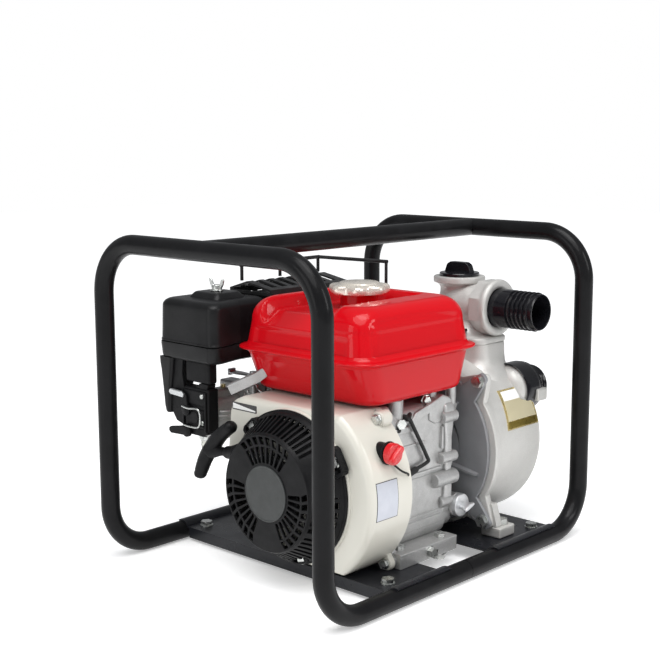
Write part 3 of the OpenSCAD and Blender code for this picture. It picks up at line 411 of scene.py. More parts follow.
def tube_vf(path, radius, n=12, section=None, round_ends=True, up=None):
    """Sweeps a circle (or a section of (u, v) points) along the path. radius may be a function of 0..1."""
    path = [Vector(p) for p in path]
    rad = radius if callable(radius) else (lambda t: radius)
    sec = section or [(math.cos(2 * pi * i / n), math.sin(2 * pi * i / n)) for i in range(n)]
    tang = []
    for i in range(len(path)):
        a, b = path[max(i - 1, 0)], path[min(i + 1, len(path) - 1)]
        tang.append((b - a).normalized())
    if up is not None:
        u = (Vector(up) - tang[0] * Vector(up).dot(tang[0])).normalized()
    else:
        u = frame_of(tang[0])[0]
    rings = []
    total = sum((path[i + 1] - path[i]).length for i in range(len(path) - 1))
    run = 0.0
    for i, p in enumerate(path):
        if i:
            run += (p - path[i - 1]).length
            u = (u - tang[i] * u.dot(tang[i])).normalized()
        v = tang[i].cross(u)
        r = rad(run / total)
        rings.append([p + u * (c * r) + v * (s * r) for c, s in sec])
    if round_ends:
        for end in (0, -1):
            t = tang[end] * (-1 if end == 0 else 1)
            c = path[end]
            base = rings[end]
            extra = []
            for k in (0.35, 0.65, 0.87, 0.97):
                h = math.sin(k * pi / 2)
                w = math.cos(k * pi / 2)
                r = rad(0.0 if end == 0 else 1.0)
                extra.append([c + (q - c) * w + t * (r * h * 0.6) for q in base])
            rings = extra[::-1] + rings if end == 0 else rings + extra
    return ringed(rings)


def tube(name, path, radius, mat, n=12, body="root", replaces=(), section=None, round_ends=True, up=None, angle=40):
    v, f = tube_vf(path, radius, n, section, round_ends, up)
    return piece(name, v, f, mat, body, replaces, angle=angle)


def circle(r, n=48, c=(0, 0), a0=0.0):
    return [(c[0] + r * math.cos(a0 + 2 * pi * i / n), c[1] + r * math.sin(a0 + 2 * pi * i / n)) for i in range(n)]


def fillet(points, radii, n=6):
    """Rounds each corner of a polygon with its radius."""
    pts = [Vector(p) for p in points]
    m = len(pts)
    if not hasattr(radii, "__len__"):
        radii = [radii] * m
    out = []
    for i in range(m):
        a, b, c = pts[i - 1], pts[i], pts[(i + 1) % m]
        r = radii[i]
        d1, d2 = (a - b), (c - b)
        l1, l2 = d1.length, d2.length
        d1, d2 = d1 / l1, d2 / l2
        cosang = max(-1, min(1, d1.dot(d2)))
        ang = math.acos(cosang)
        if r <= 1e-6 or abs(pi - ang) < 0.01:
            out += [(b.x, b.y)] * (n + 1) if r <= 1e-6 else [tuple(b + d1 * 0.01 * (1 - k / n) + d2 * 0.01 * (k / n)) for k in range(n + 1)]
            continue
        t = min(r / math.tan(ang / 2), l1 * 0.49, l2 * 0.49)
        rr = t * math.tan(ang / 2)
        bis = (d1 + d2).normalized()
        cen = b + bis * (rr / math.sin(ang / 2))
        p1, p2 = b + d1 * t, b + d2 * t
        a1 = math.atan2((p1 - cen).y, (p1 - cen).x)
        a2 = math.atan2((p2 - cen).y, (p2 - cen).x)
        da = (a2 - a1 + pi) % (2 * pi) - pi
        for k in range(n + 1):
            q = a1 + da * k / n
            out.append((cen.x + rr * math.cos(q), cen.y + rr * math.sin(q)))
    return out


def inset(points, d):
    """Moves each edge of a counter-clockwise polygon inwards by d."""
    pts = [Vector(p) for p in points]
    m = len(pts)
    out = []
    for i in range(m):
        a, b, c = pts[i - 1], pts[i], pts[(i + 1) % m]
        e1, e2 = (b - a).normalized(), (c - b).normalized()
        n1, n2 = Vector((-e1.y, e1.x)), Vector((-e2.y, e2.x))
        k = 1 + n1.dot(n2)
        out.append(tuple(b + (n1 + n2) * (d / max(k, 0.15))))
    return out


def rrect(x0, x1, y0, y1, r, n=6):
    return fillet([(x0, y0), (x1, y0), (x1, y1), (x0, y1)], r, n)


def block(name, x0, x1, y0, y1, z0, z1, mat, bevel=1.0, seg=3, body="root", replaces=()):
    v = [(x, y, z) for x in (x0, x1) for y in (y0, y1) for z in (z0, z1)]
    f = [(0, 1, 3, 2), (4, 6, 7, 5), (0, 4, 5, 1), (2, 3, 7, 6), (0, 2, 6, 4), (1, 5, 7, 3)]
    return piece(name, v, f, mat, body, replaces, bevel=bevel, seg=seg)


def prism(name, outline, axis, a, b, mat, bevel=1.0, seg=3, body="root", replaces=(), limit=30, angle=32):
    """Extrudes an outline in the (x,z), (y,z) or (x,y) plane between a and b along the axis, edges bevelled."""
    def put(p, h):
        return {"y": (p[0], h, p[1]), "x": (h, p[0], p[1]), "z": (p[0], p[1], h)}[axis]
    n = len(outline)
    v = [put(p, a) for p in outline] + [put(p, b) for p in outline]
    f = [(i, (i + 1) % n, n + (i + 1) % n, n + i) for i in range(n)] + [tuple(range(n)), tuple(range(n, 2 * n))]
    return piece(name, v, f, mat, body, replaces, bevel=bevel, seg=seg, limit=limit, angle=angle)


def join(name, objs):
    """Joins finished pieces into one named piece that keeps the first one's body, slot and replaced nodes."""
    reps = sorted({r for o in objs for r in list(o.get("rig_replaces", []))})
    for o in bpy.context.selected_objects:
        o.select_set(False)
    for o in objs:
        o.select_set(True)
    bpy.context.view_layer.objects.active = objs[0]
    bpy.ops.object.join()
    o = objs[0]
    o.name = name
    o.data.name = name
    if reps:
        o["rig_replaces"] = reps
    return o


# ---------------------------------------------------------------- shape helpers
def sm(t):
    t = max(0.0, min(1.0, t))
    return t * t * (3 - 2 * t)


def lerp(a, b, t):
    return a + (b - a) * t


def rring(x0, x1, y0, y1, r, m=40, k=14):
    """A rounded rectangle of 4 * (m + k) points, so that rings of any size match."""
    out = []
    for cx_, cy_, a0, sx, sy, ex_, ey_ in ((x1 - r, y1 - r, 0, x1, y0 + r, x1, y1 - r), (x0 + r, y1 - r, 1, x1 - r, y1, x0 + r, y1),
                                           (x0 + r, y0 + r, 2, x0, y1 - r, x0, y0 + r), (x1 - r, y0 + r, 3, x0 + r, y0, x1 - r, y0)):
        out += [(lerp(sx, ex_, i / m), lerp(sy, ey_, i / m)) for i in range(m)]
        out += [(cx_ + r * math.cos(pi / 2 * (a0 + i / k)), cy_ + r * math.sin(pi / 2 * (a0 + i / k))) for i in range(k)]
    return out


# ---------------------------------------------------------------- fuel tank
def tank_top_z(x, y, z):
    inside = sm((x + 47) / 9) * sm((71 - x) / 9) * (1 - sm((y - 42) / 10))
    floor_z = 305.0 - max(0.0, -86 - y) * 0.55
    if z > floor_z:
        z = lerp(z, floor_z, inside)
    return z


def tank_panels(x, y, z):
    if x > 100:
        top = 312.5 - 0.00075 * (y + 35) ** 2
        k = sm((y + 100) / 7) * sm((62 - y) / 8) * sm((z - 264) / 5) * sm((top - z) / 8)
        x -= 2.0 * k
    if y < -88:
        k = sm((x + 56) / 6) * sm((98 - x) / 6) * sm((z - 264) / 4) * sm((289 - z) / 4)
        y += 1.5 * k
    return x, y, z


def tank_piece():
    rings = []
    for i in range(15):
        t = i / 14
        rings.append([(*p, 262.0 + 31 * t) for p in rring(-80 + 4 * t, 124 - 4 * t, -116 + 4 * t, 88 - 4 * t, 27 + t)])
    for i in range(1, 19):
        a = pi / 2 * i / 18
        d = 4 + 22 * (1 - math.cos(a))
        rings.append([(*p, 293 + 28 * math.sin(a)) for p in rring(-80 + d, 124 - d, -116 + d, 88 - d, 28 - 4 * i / 18)])
    last = rring(-54, 98, -90, 62, 24)
    for i in range(1, 34):
        k = 1 - i / 33.5
        rings.append([(22 + (p[0] - 22) * k, -14 + (p[1] + 14) * k, 321.0) for p in last])
    out = []
    for r in rings:
        q = []
        for x, y, z in r:
            z = tank_top_z(x, y, z)
            q.append(tank_panels(x, y, z))
        out.append(q)
    v, f = ringed(out, cap0=False)
    upper = piece("tank_upper", v, f, "m_red", replaces=("fuel_tank",), angle=60)
    rings = []
    for i in range(13):
        t = i / 12
        rings.append([(*p, 260.0 - 41 * t) for p in rring(-80 + 3 * t, 124 - 4 * t, -116 + 17 * t, 88 - 10 * t, 27 - 2 * t)])
    for i in range(1, 9):
        a = pi / 2 * i / 8
        d = 10 * (1 - math.cos(a))
        rings.append([(*p, 219 - 10 * math.sin(a)) for p in rring(-77 + d, 120 - d, -99 + d, 78 - d, 25 - d * 0.5)])
    q = []
    for r in rings:
        row = []
        for x, y, z in r:
            if y < -88:
                y += 1.3 * sm((x + 52) / 5) * sm((92 - x) / 5) * sm((z - 222) / 4) * sm((254 - z) / 4)
            row.append((x, y, z))
        q.append(row)
    v, f = ringed(q, cap0=False)
    lower = piece("tank_lower", v, f, "m_red", angle=60)
    prof = [(-1, 268.5), (0.6, 265.2), (3.2, 263.3), (6.4, 262.9), (7.6, 262.2), (8, 261), (7.6, 259.8), (6.4, 259.1), (3.4, 258.8), (1.0, 257.4), (-1, 254.5)]
    rings = [[(*p, z) for p in rring(-80 - e, 124 + e, -116 - e, 88 + e, 27 + e * 0.5)] for e, z in prof]
    v, f = ringed(rings, cap0=False, cap1=False)
    lip = piece("tank_lip", v, f, "m_red", angle=60)
    neck = lathe("tank_neck_a", [(26, 303.5), (25, 305.6), (23.2, 307), (22.8, 324), (22.2, 326.6), (20, 327), (20, 304)], (12 , 0, 0), (0, 0, 1), "m_red", n=56)
    return join("tank_shell", [upper, lower, lip, neck])


tank_piece()


def cap_piece():
    n = 252
    def ring(r, z, lobe, sharp=1.0):
        out = []
        for i in range(n):
            a = 2 * pi * i / n
            w = 0.5 + 0.5 * math.cos(7 * a)
            out.append((12 + (r + lobe * (w ** sharp - 0.5)) * math.cos(a), (r + lobe * (w ** sharp - 0.5)) * math.sin(a), z))
        return out
    rings = [ring(24, 322.2, 0), ring(32, 322.0, 3), ring(33.8, 322.6, 4.5), ring(34.6, 324.5, 6.2), ring(34.8, 328.5, 6.6), ring(34.0, 331.2, 6.2), ring(32.0, 332.8, 5.0), ring(29.0, 333.4, 3.0),
             ring(26.4, 333.2, 1.2), ring(25.0, 333.8, 0.3), ring(24.2, 335.0, 0), ring(22.6, 335.8, 0), ring(14, 336.0, 0), ring(6, 336.0, 0), ring(0.4, 336.0, 0)]
    v, f = ringed(rings, cap0=False)
    return piece("fuel_cap_shell", v, f, "m_chrome", body="tank_cap", replaces=("fuel_cap",), angle=50)


cap_piece()

# ---------------------------------------------------------------- fan cover
CX, CZ = 34.0, 113.0


def fan_outline_pts():
    pts = []
    for i in range(61):
        a = math.radians(57.7 - (57.7 + 55.8) * i / 60)
        pts.append((46 + 110 * math.cos(a), 113 + 110 * math.sin(a)))
    pts = pts[::-1]
    left = fillet([(104.7, 206), (-52, 206), (-68.5, 199), (-75, 187), (-80, 136), (-67.5, 122), (-60, 62), (-20, 22), (107.8, 22)], [0, 16, 9, 22, 10, 16, 20, 14, 0], 9)
    return pts + left[8:-8]


FAN = fan_outline_pts()


def resample(points, n):
    pts = [Vector(p) for p in points]
    m = len(pts)
    d = [(pts[(i + 1) % m] - pts[i]).length for i in range(m)]
    total = sum(d)
    out, i, run = [], 0, 0.0
    for k in range(n):
        want = total * k / n
        while run + d[i] < want and i < m - 1:
            run += d[i]
            i += 1
        t = (want - run) / max(d[i], 1e-9)
        out.append(tuple(pts[i].lerp(pts[(i + 1) % m], min(1, max(0, t)))))
    return out


def offset_ring(pts, d):
    """Moves a smooth closed outline inwards along its normals."""
    m = len(pts)
    out = []
    for i in range(m):
        a, b = Vector(pts[(i - 2) % m]), Vector(pts[(i + 2) % m])
        t = (b - a).normalized()
        out.append((pts[i][0] - t.y * d, pts[i][1] + t.x * d))
    return out


def area2(pts):
    return sum(pts[i - 1][0] * pts[i][1] - pts[i][0] * pts[i - 1][1] for i in range(len(pts)))


def fan_cover_piece():
    ring = resample(FAN, 300)
    if area2(ring) < 0:
        ring = ring[::-1]
    rings = [[(p[0], -70, p[1]) for p in offset_ring(ring, 2.2)], [(p[0], -70, p[1]) for p in ring], [(p[0], -100, p[1]) for p in ring]]
    for i in range(0, 9):
        a = pi / 2 * i / 8
        rings.append([(p[0], -129.5 - 8.5 * math.sin(a), p[1]) for p in offset_ring(ring, 8.5 * (1 - math.cos(a)))])
    for k in (0.965, 0.93, 0.88, 0.82):
        rings.append([(CX + (p[0] - CX) * k, -138, CZ + (p[1] - CZ) * k) for p in offset_ring(ring, 8.5)])
    v, f = ringed(rings, cap0=False)
    body = piece("fan_cover_a", v, f, "m_cream", replaces=("fan_cover",), angle=45)
    hoop = lathe("fan_cover_b", [(80, -136), (84, -137.6), (85.5, -140.2), (87, -141), (88.6, -141), (90, -140.2), (90.7, -138.8), (91, -137.2)], (CX, 0, CZ), (0, 1, 0), "m_cream", n=120)
    parts = [body, hoop]
    for i, (px, pz) in enumerate([(106, 198), (124, 26), (-76, 176), (-30, 34)]):
        d = Vector((CX - px, CZ - pz)).normalized() * 16
        t = Vector((-d.y, d.x)).normalized()
        out = []
        for j in range(13):
            a = math.atan2(-d.y, -d.x) - pi / 2 + pi * j / 12
            out.append((px + 8.2 * math.cos(a), pz + 8.2 * math.sin(a)))
        out += [(px + d.x + t.x * -12, pz + d.y + t.y * -12), (px + d.x + t.x * 12, pz + d.y + t.y * 12)]
        parts.append(plate("fan_cover_ear%d" % i, out, [circle(3.3, 20, (px, pz))], "y", -79, -70.2, "m_cream", edge=1.6, res=3))
    return join("fan_cover_shell", parts)


fan_cover_piece()
# stickers: a plain silver one on the right wall, a plain wedge scale on the front
st = []
for name, d0, d1, h0, h1, off, mt in (("sticker_right", -129.0, -95.0, 94, 136, 0.35, "m_sticker"), ("sticker_right_rim", -129.8, -94.2, 93.2, 136.8, 0.15, "m_sticker_dark")):
    rings = []
    for i in range(13):
        z = lerp(h0, h1, i / 12)
        x = 46 + math.sqrt(110 ** 2 - (z - 113) ** 2) + off
        rings.append([(x, d0, z), (x, d1, z), (x - 0.4, d1, z), (x - 0.4, d0, z)])
    v, f = ringed(rings)
    st.append(piece(name, v, f, mt, angle=30))
plate("scale_rim", rrect(-67, -25, 188.6, 197.8, 1, 3), [], "y", -138.35, -137.9, "m_sticker_dark", edge=0.1, res=1)
plate("scale_wedge", [(-65.6, 190.2), (-27, 190.0), (-27, 191.6), (-65.6, 196.6)], [], "y", -138.6, -138.2, "m_sticker_white", edge=0.08, res=1)

# ---------------------------------------------------------------- recoil housing
def ang(a):
    return math.radians(a)


def slot_quad(a, r0, r1, w0, w1, slant=0.0):
    """One radial slot in the starter's face: angle in degrees, radii, widths at each end."""
    e = Vector((math.cos(ang(a)), math.sin(ang(a))))
    e1 = Vector((math.cos(ang(a + slant)), math.sin(ang(a + slant))))
    t, t1 = Vector((-e.y, e.x)), Vector((-e1.y, e1.x))
    c = Vector((CX, CZ))
    p = [c + e * r0 - t * w0 / 2, c + e1 * r1 - t1 * w1 / 2, c + e1 * r1 + t1 * w1 / 2, c + e * r0 + t * w0 / 2]
    return fillet([tuple(q) for q in p], 0.7, 3)


def recoil_piece():
    holes = []
    for a0, a1, n in ((56, 124, 8), (176, 244, 8), (297, 365, 8)):
        for i in range(n):
            a = lerp(a0, a1, i / (n - 1))
            holes.append(slot_quad(a, 35.4, 53.8, 3.6, 5.8))
            holes.append(slot_quad(a, 56.6, 65.2, 6.0, 7.0, 2.6))
    parts = [plate("recoil_a", circle(67.5, 144, (CX, CZ)), holes, "y", -181, -177.6, "m_plastic_fine", edge=0.6, res=2)]
    parts[0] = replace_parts(parts[0], "recoil_housing")
    # wall: ribs and gaps by sector
    N = 360
    def open_at(d):
        d %= 360
        if 44 <= d <= 128:
            return (d - 44) % 5.4 < 3.3
        if 182 <= d <= 244:
            return (d - 182) % 9.0 < 4.2
        if d >= 331 or d <= 4:
            return ((d - 331) % 360) % 8.0 < 4.6
        if 250 <= d <= 328:
            return (d - 250) % 6.0 < 3.3
        return False
    prof = [(67.0, -180.6), (68.2, -179.6), (69.4, -177), (70.4, -174.5), (77.0, -163), (82.0, -154), (84.6, -150.5), (86.8, -147.5), (88.0, -144.5), (88, -141.2)]
    rows = len(prof)
    verts, faces = [], []
    for i in range(N):
        a = ang(i)
        for r, h in prof:
            verts.append((CX + r * math.cos(a), h, CZ + r * math.sin(a)))
    for i in range(N):
        j = (i + 1) % N
        for q in range(rows - 1):
            if 2 <= q <= 5 and open_at(i + 0.5):
                continue
            if q >= 5 and min(abs((i + 0.5 - t + 180) % 360 - 180) for t in (29.8, 131.7, 286.0)) < 6:
                continue
            faces.append((i * rows + q, j * rows + q, j * rows + q + 1, i * rows + q + 1))
    parts.append(piece("recoil_b", verts, faces, "m_plastic_fine", solid=3.2, angle=38))
    # dark drum behind the open wall, ribs standing on it
    parts.append(lathe("recoil_c", [(64.0, -177.4), (65.4, -172), (72, -160), (77.4, -150.5), (78, -145), (76, -145), (63, -172), (62, -177.4)], (CX, 0, CZ), (0, 1, 0), "m_plastic_fine", n=96))
    # base rim
    parts.append(lathe("recoil_d", [(80, -141.2), (89.4, -141.2), (89.9, -141.9), (89.9, -143.6), (89.2, -144.4), (87, -144.8), (80, -144.8), (80, -141.2)], (CX, 0, CZ), (0, 1, 0), "m_plastic_fine", n=120))
    # bolt ears: a raised rim round a recessed bolt seat
    for i, (px, pz, w, e) in enumerate([(109, 156, 17, 11), (-24, 178, 14, 4), (57, 33, 14, 5)]):
        d = (Vector((px, pz)) - Vector((CX, CZ))).normalized()
        t = Vector((-d.y, d.x))
        c = Vector((px, pz))
        o = [c - d * 12 - t * w, c + d * (e - 3) - t * w, c + d * e - t * (w - 5), c + d * e + t * (w - 5), c + d * (e - 3) + t * w, c - d * 12 + t * w]
        o = fillet([tuple(q) for q in o], [2, 4, 5, 5, 4, 2], 4)
        hole = fillet([tuple(c - d * 9 - t * (w - 4)), tuple(c + d * (e - 4) - t * (w - 4)), tuple(c + d * (e - 2.6) - t * (w - 8)), tuple(c + d * (e - 2.6) + t * (w - 8)), tuple(c + d * (e - 4) + t * (w - 4)), tuple(c - d * 9 + t * (w - 4))], [2, 2, 2, 2, 2, 2], 3)
        parts.append(plate("recoil_ear%d" % i, o, [circle(3.3, 20, (px, pz))], "y", -144.3, -141.2, "m_plastic_fine", edge=0.6))
        parts.append(plate("recoil_rim%d" % i, o, [hole], "y", -151.5, -144.2, "m_plastic_fine", edge=0.7))
    # rope guide
    a = math.radians(3.95)
    dv = Vector((math.cos(a), 0, math.sin(a)))
    o0 = Vector((-69, -164, 142))
    parts.append(lathe("recoil_g", [(3.4, 19), (3.4, 19.6), (5.0, 18.9), (6.9, 19.4), (7.6, 21.5), (7.8, 26), (9.5, 32), (12.0, 39), (11, 43), (3.4, 43)], o0, dv, "m_plastic_fine", n=40))
    return join("recoil_shell", parts)


recoil_piece()
lathe("centre_badge", [(0.01, -182.0), (20, -182.0), (30.2, -182.0), (30.8, -182.3), (31.7, -182.35), (32.4, -182.0), (32.5, -181.2), (32.5, -180.6)], (CX, 0, CZ), (0, 1, 0), "m_label", n=96, replaces=("centre_label",), angle=25)


def handle_piece():
    A, B = Vector((-98, -164, 108)), Vector((-42, -164, 175))
    mid = (A + B) / 2 + Vector((-5.0, 0, 4.2))
    path = spline([A, A.lerp(mid, 0.5) + Vector((-1.5, 0, 1.5)), mid, mid.lerp(B, 0.5) + Vector((-1.5, 0, 1.5)), B], 10)
    sec = [(math.cos(2 * pi * i / 24) * 1.0, math.sin(2 * pi * i / 24) * 0.86) for i in range(24)]
    grip = tube("handle_a", path, lambda t: 9.0 + 1.6 * math.sin(pi * t) ** 2 - 0.6 * math.exp(-((t - 0.02) / 0.05) ** 2), "m_plastic_fine", body="handle", section=sec, replaces=("pull_handle",))
    a = math.radians(3.95)
    dv = Vector((math.cos(a), 0, math.sin(a)))
    c = Vector((-69, -164, 142))
    start = c + dv * -8 + Vector((-2, 0, 2))
    neck = tube("handle_b", [start, c + dv * -3, c + dv * 4, c + dv * 10, c + dv * 16.6], lambda t: lerp(11.5, 5.0, sm(t * 1.15)), "m_plastic_fine", n=24, body="handle", round_ends=False)
    g = join("handle_grip", [grip, neck])
    # braided rope
    rings = []
    L = 138
    for i in range(int(L / 0.8)):
        h = i * 0.8
        rings.append((h, 1.85 + 0.15 * math.cos(h * 2 * pi / 3.2)))
    v, f = lathe_vf([(0.01, 0)] + [(r, h) for h, r in rings] + [(0.01, L)], c, dv, 12)
    piece("handle_rope", v, f, "m_rope", body="handle", angle=70)
    return g


handle_piece()

# ---------------------------------------------------------------- air cleaner
def ac_ring(d, z):
    base = [(-190, -152), (-81.5, -152), (-94, -97), (-94, -50), (-190, -50)]
    return [(*p, z) for p in fillet(inset(base, d), [13, 12, 14, 5, 8], 8)]


def air_cleaner_cover_piece():
    rings = [ac_ring(1.4, 260.5), ac_ring(0.4, 261.0), ac_ring(0.3, 263.0), ac_ring(1.0, 264.0), ac_ring(1.4, 282), ac_ring(1.8, 301)]
    for i in range(1, 9):
        a = pi / 2 * i / 8
        rings.append(ac_ring(1.8 + 9.2 * (1 - math.cos(a)), 303.5 + 10 * math.sin(a)))
    rings.append(ac_ring(24, 314.2))
    v, f = ringed(rings, cap0=False)
    a = piece("air_cover_a", v, f, "m_plastic", body="air_cover", replaces=("air_cleaner_cover",), solid=2.4, angle=50)
    hr = []
    for d, z, r in ((0, 313.2, 7), (0.6, 315.2, 7), (4.6, 320.0, 6), (6.4, 321.0, 5), (12, 321.3, 4)):
        hr.append([(*p, z) for p in rrect(-162 + d, -108 - d, -125 + d, -75 - d, r, 6)])
    v, f = ringed(hr, cap0=False)
    b = piece("air_cover_b", v, f, "m_plastic", body="air_cover", angle=40)
    return join("air_cover_shell", [a, b])


air_cleaner_cover_piece()


def air_case_piece():
    rings = [ac_ring(4.4, 241), ac_ring(4.4, 259.9), ac_ring(1.2, 260.1), ac_ring(0.1, 259.6), ac_ring(0.0, 257), ac_ring(0.6, 250), ac_ring(1.0, 243), ac_ring(2.2, 240.6), ac_ring(5.0, 239.2), ac_ring(8, 238)]
    v, f = ringed(rings, cap0=False)
    parts = [piece("air_case_a", v, f, "m_plastic", replaces=("air_cleaner_case",), angle=50)]
    parts.append(plate("air_case_a2", [p[:2] for p in ac_ring(4.2, 0)], [circle(6, 24, (-135, -100))], "z", 239.4, 241.4, "m_plastic", edge=0.3, res=1))
    # skirt duct on the left, tapering down
    duct = []
    for z, x0, x1, y0, y1 in ((240, -189, -163, -151, -104), (232, -188.5, -164, -150.8, -104), (224, -187, -165, -150.5, -106), (208, -185.5, -168, -150, -109), (192, -184, -169.5, -149.5, -111), (178, -182.5, -170.5, -149.5, -113), (171, -181, -171, -149, -114), (169.4, -180, -172, -148, -115)):
        duct.append([(*p, z) for p in rrect(x0, x1, y0, y1, 4.5, 5)])
    v, f = ringed(duct)
    parts.append(piece("air_case_b", v, f, "m_plastic", angle=50))
    # thin web between the duct and the control block
    parts.append(prism("air_case_web", fillet([(-172, 200), (-170, 172), (-162, 161), (-147, 157), (-147, 206), (-150, 222), (-148, 240), (-172, 240)], 2, 3), "y", -146, -142, "m_plastic_fine", bevel=0.8))
    # intake trunk above the control block, with a gap between them
    parts.append(block("air_case_c", -146, -102, -144, -130, 213, 240, "m_plastic_fine", bevel=3))
    parts.append(prism("air_case_c2", fillet([(-119, 204), (-107, 204), (-104, 213), (-122, 213)], 1.5, 3), "y", -144, -131, "m_plastic_fine", bevel=0.8))
    # control block with stepped face
    parts.append(block("air_case_d", -149, -102, -145.5, -128.8, 154, 207, "m_plastic_fine", bevel=2.2))
    parts.append(block("air_case_d2", -146, -108, -147.4, -140, 186, 204, "m_plastic_fine", bevel=1.6))
    parts.append(block("air_case_d3", -144, -110, -147.2, -140, 158, 181, "m_plastic_fine", bevel=1.6))
    parts.append(prism("air_case_d4", fillet([(-150, 157), (-150, 152), (-138, 147.5), (-114, 147.5), (-104, 152), (-104, 157)], 2.5, 4), "y", -146, -128.8, "m_plastic_fine", bevel=1.2))
    for x in (-147.5, -106.5):
        parts.append(block("air_case_rib%d" % (x < -120), x - 1.6, x + 1.6, -148, -129, 154, 203, "m_plastic_fine", bevel=0.8))
    parts.append(lathe("air_case_e", [(0.01, 0), (7.2, 0), (7.6, 0.5), (7.6, 4), (8.4, 5), (8.4, 9)], (-127, -148.2, 170), (0, 1, 0), "m_plastic_fine", n=32))
    for (x, z) in ((-112, 198), (-112, 165)):
        parts.append(lathe("air_case_s%d" % z, [(0.01, 0), (2.6, 0), (3.0, 0.6), (3.0, 3)], (x, -148.6, z), (0, 1, 0), "m_zinc", n=20))
    return join("air_case_shell", parts[:-2]), join("control_screws", parts[-2:])


air_case_piece()
lathe("cleaner_stud", [(0.01, 328.4), (2.3, 328.2), (3.0, 327.4), (3.0, 240)], (-135, -100, 0), (0, 0, 1), "m_zinc", n=24)


def wing_piece():
    a = lathe("wing_a", [(3.1, 321.5), (8.0, 321.5), (8.4, 322.1), (8.2, 323.0), (6.4, 323.6), (6.2, 327.4), (5.4, 328.6), (3.1, 328.6)], (-135, -100, 0), (0, 0, 1), "m_zinc", n=40, body="air_nut", replaces=("wing_nut",))
    parts = [a]
    for s in (-1, 1):
        o = [(-135 + s * p[0], p[1]) for p in ((4.6, 322.6), (8.0, 323.5), (11.8, 329), (13.6, 335.0), (11.6, 337.2), (8.4, 334.6), (6.0, 329.6), (4.6, 328.2))]
        if s < 0:
            o = o[::-1]
        parts.append(prism("wing_b%d" % s, fillet(o, 1.6, 4), "y", -101.3, -98.7, "m_zinc", bevel=0.9, body="air_nut"))
    return join("wing_nut_shell", parts)


wing_piece()
# chrome bail round the float bowl
bail = spline([(-146, -150.6, 182), (-132, -152.6, 181.5), (-118, -151.0, 182.5), (-113.5, -150.2, 178), (-113, -150, 168), (-114.5, -150.6, 161.5), (-119, -151.6, 159.2), (-132, -152.4, 159), (-143, -151.4, 159.4)], 7)
tube("chrome_bail", bail, 1.1, "m_zinc", n=10)


def carb_piece():
    parts = [lathe("carb_a", [(11, -128), (16.4, -128), (17, -127.2), (17, -112), (15.6, -104), (17.4, -94), (17.4, -84)], (-126, 0, 178), (0, 1, 0), "m_alu", n=48, replaces=("carburettor",))]
    parts.append(block("carb_b", -152, -88, -84, -62.4, 158, 206, "m_alu", bevel=3))
    parts.append(lathe("carb_c", [(0.01, 139.8), (16, 140.0), (20, 142), (22, 146), (22.2, 160), (22.2, 165), (24.2, 166.2), (24.2, 170.2), (23.4, 171), (23.4, 175.2), (22, 176.6), (12, 177)], (-126, -106, 0), (0, 0, 1), "m_alu", n=56))
    parts.append(lathe("carb_ring", [(9.8, 135.6), (12.0, 135.6), (12.8, 136.4), (12.8, 140.6), (12.0, 141.4), (9, 141.6)], (-137, -115, 0), (0, 0, 1), "m_zinc", n=40))
    parts.append(block("carb_d", -135, -117, -118, -94, 188, 201, "m_alu", bevel=2.4))
    for p in ((-142, -72), (-98, -72)):
        parts.append(lathe("carb_n%d" % p[0], [(0.01, 0), (4.4, 0), (5.0, 0.5), (5.0, 3.8)], (p[0], -88.2, 170 if p[0] < -120 else 196), (0, 1, 0), "m_zinc", n=6, bevel=0.4))
    return join("carburettor_shell", parts)


carb_piece()
lathe("sediment_cup_shell", [(8.2, 136.0), (9.8, 136.0), (10.2, 134), (10.2, 127), (9.4, 123), (6.8, 120.6), (3.2, 120.0), (0.01, 120.0)], (-137, -115, 0), (0, 0, 1), "m_cup", n=48, replaces=("sediment_cup",), angle=60)


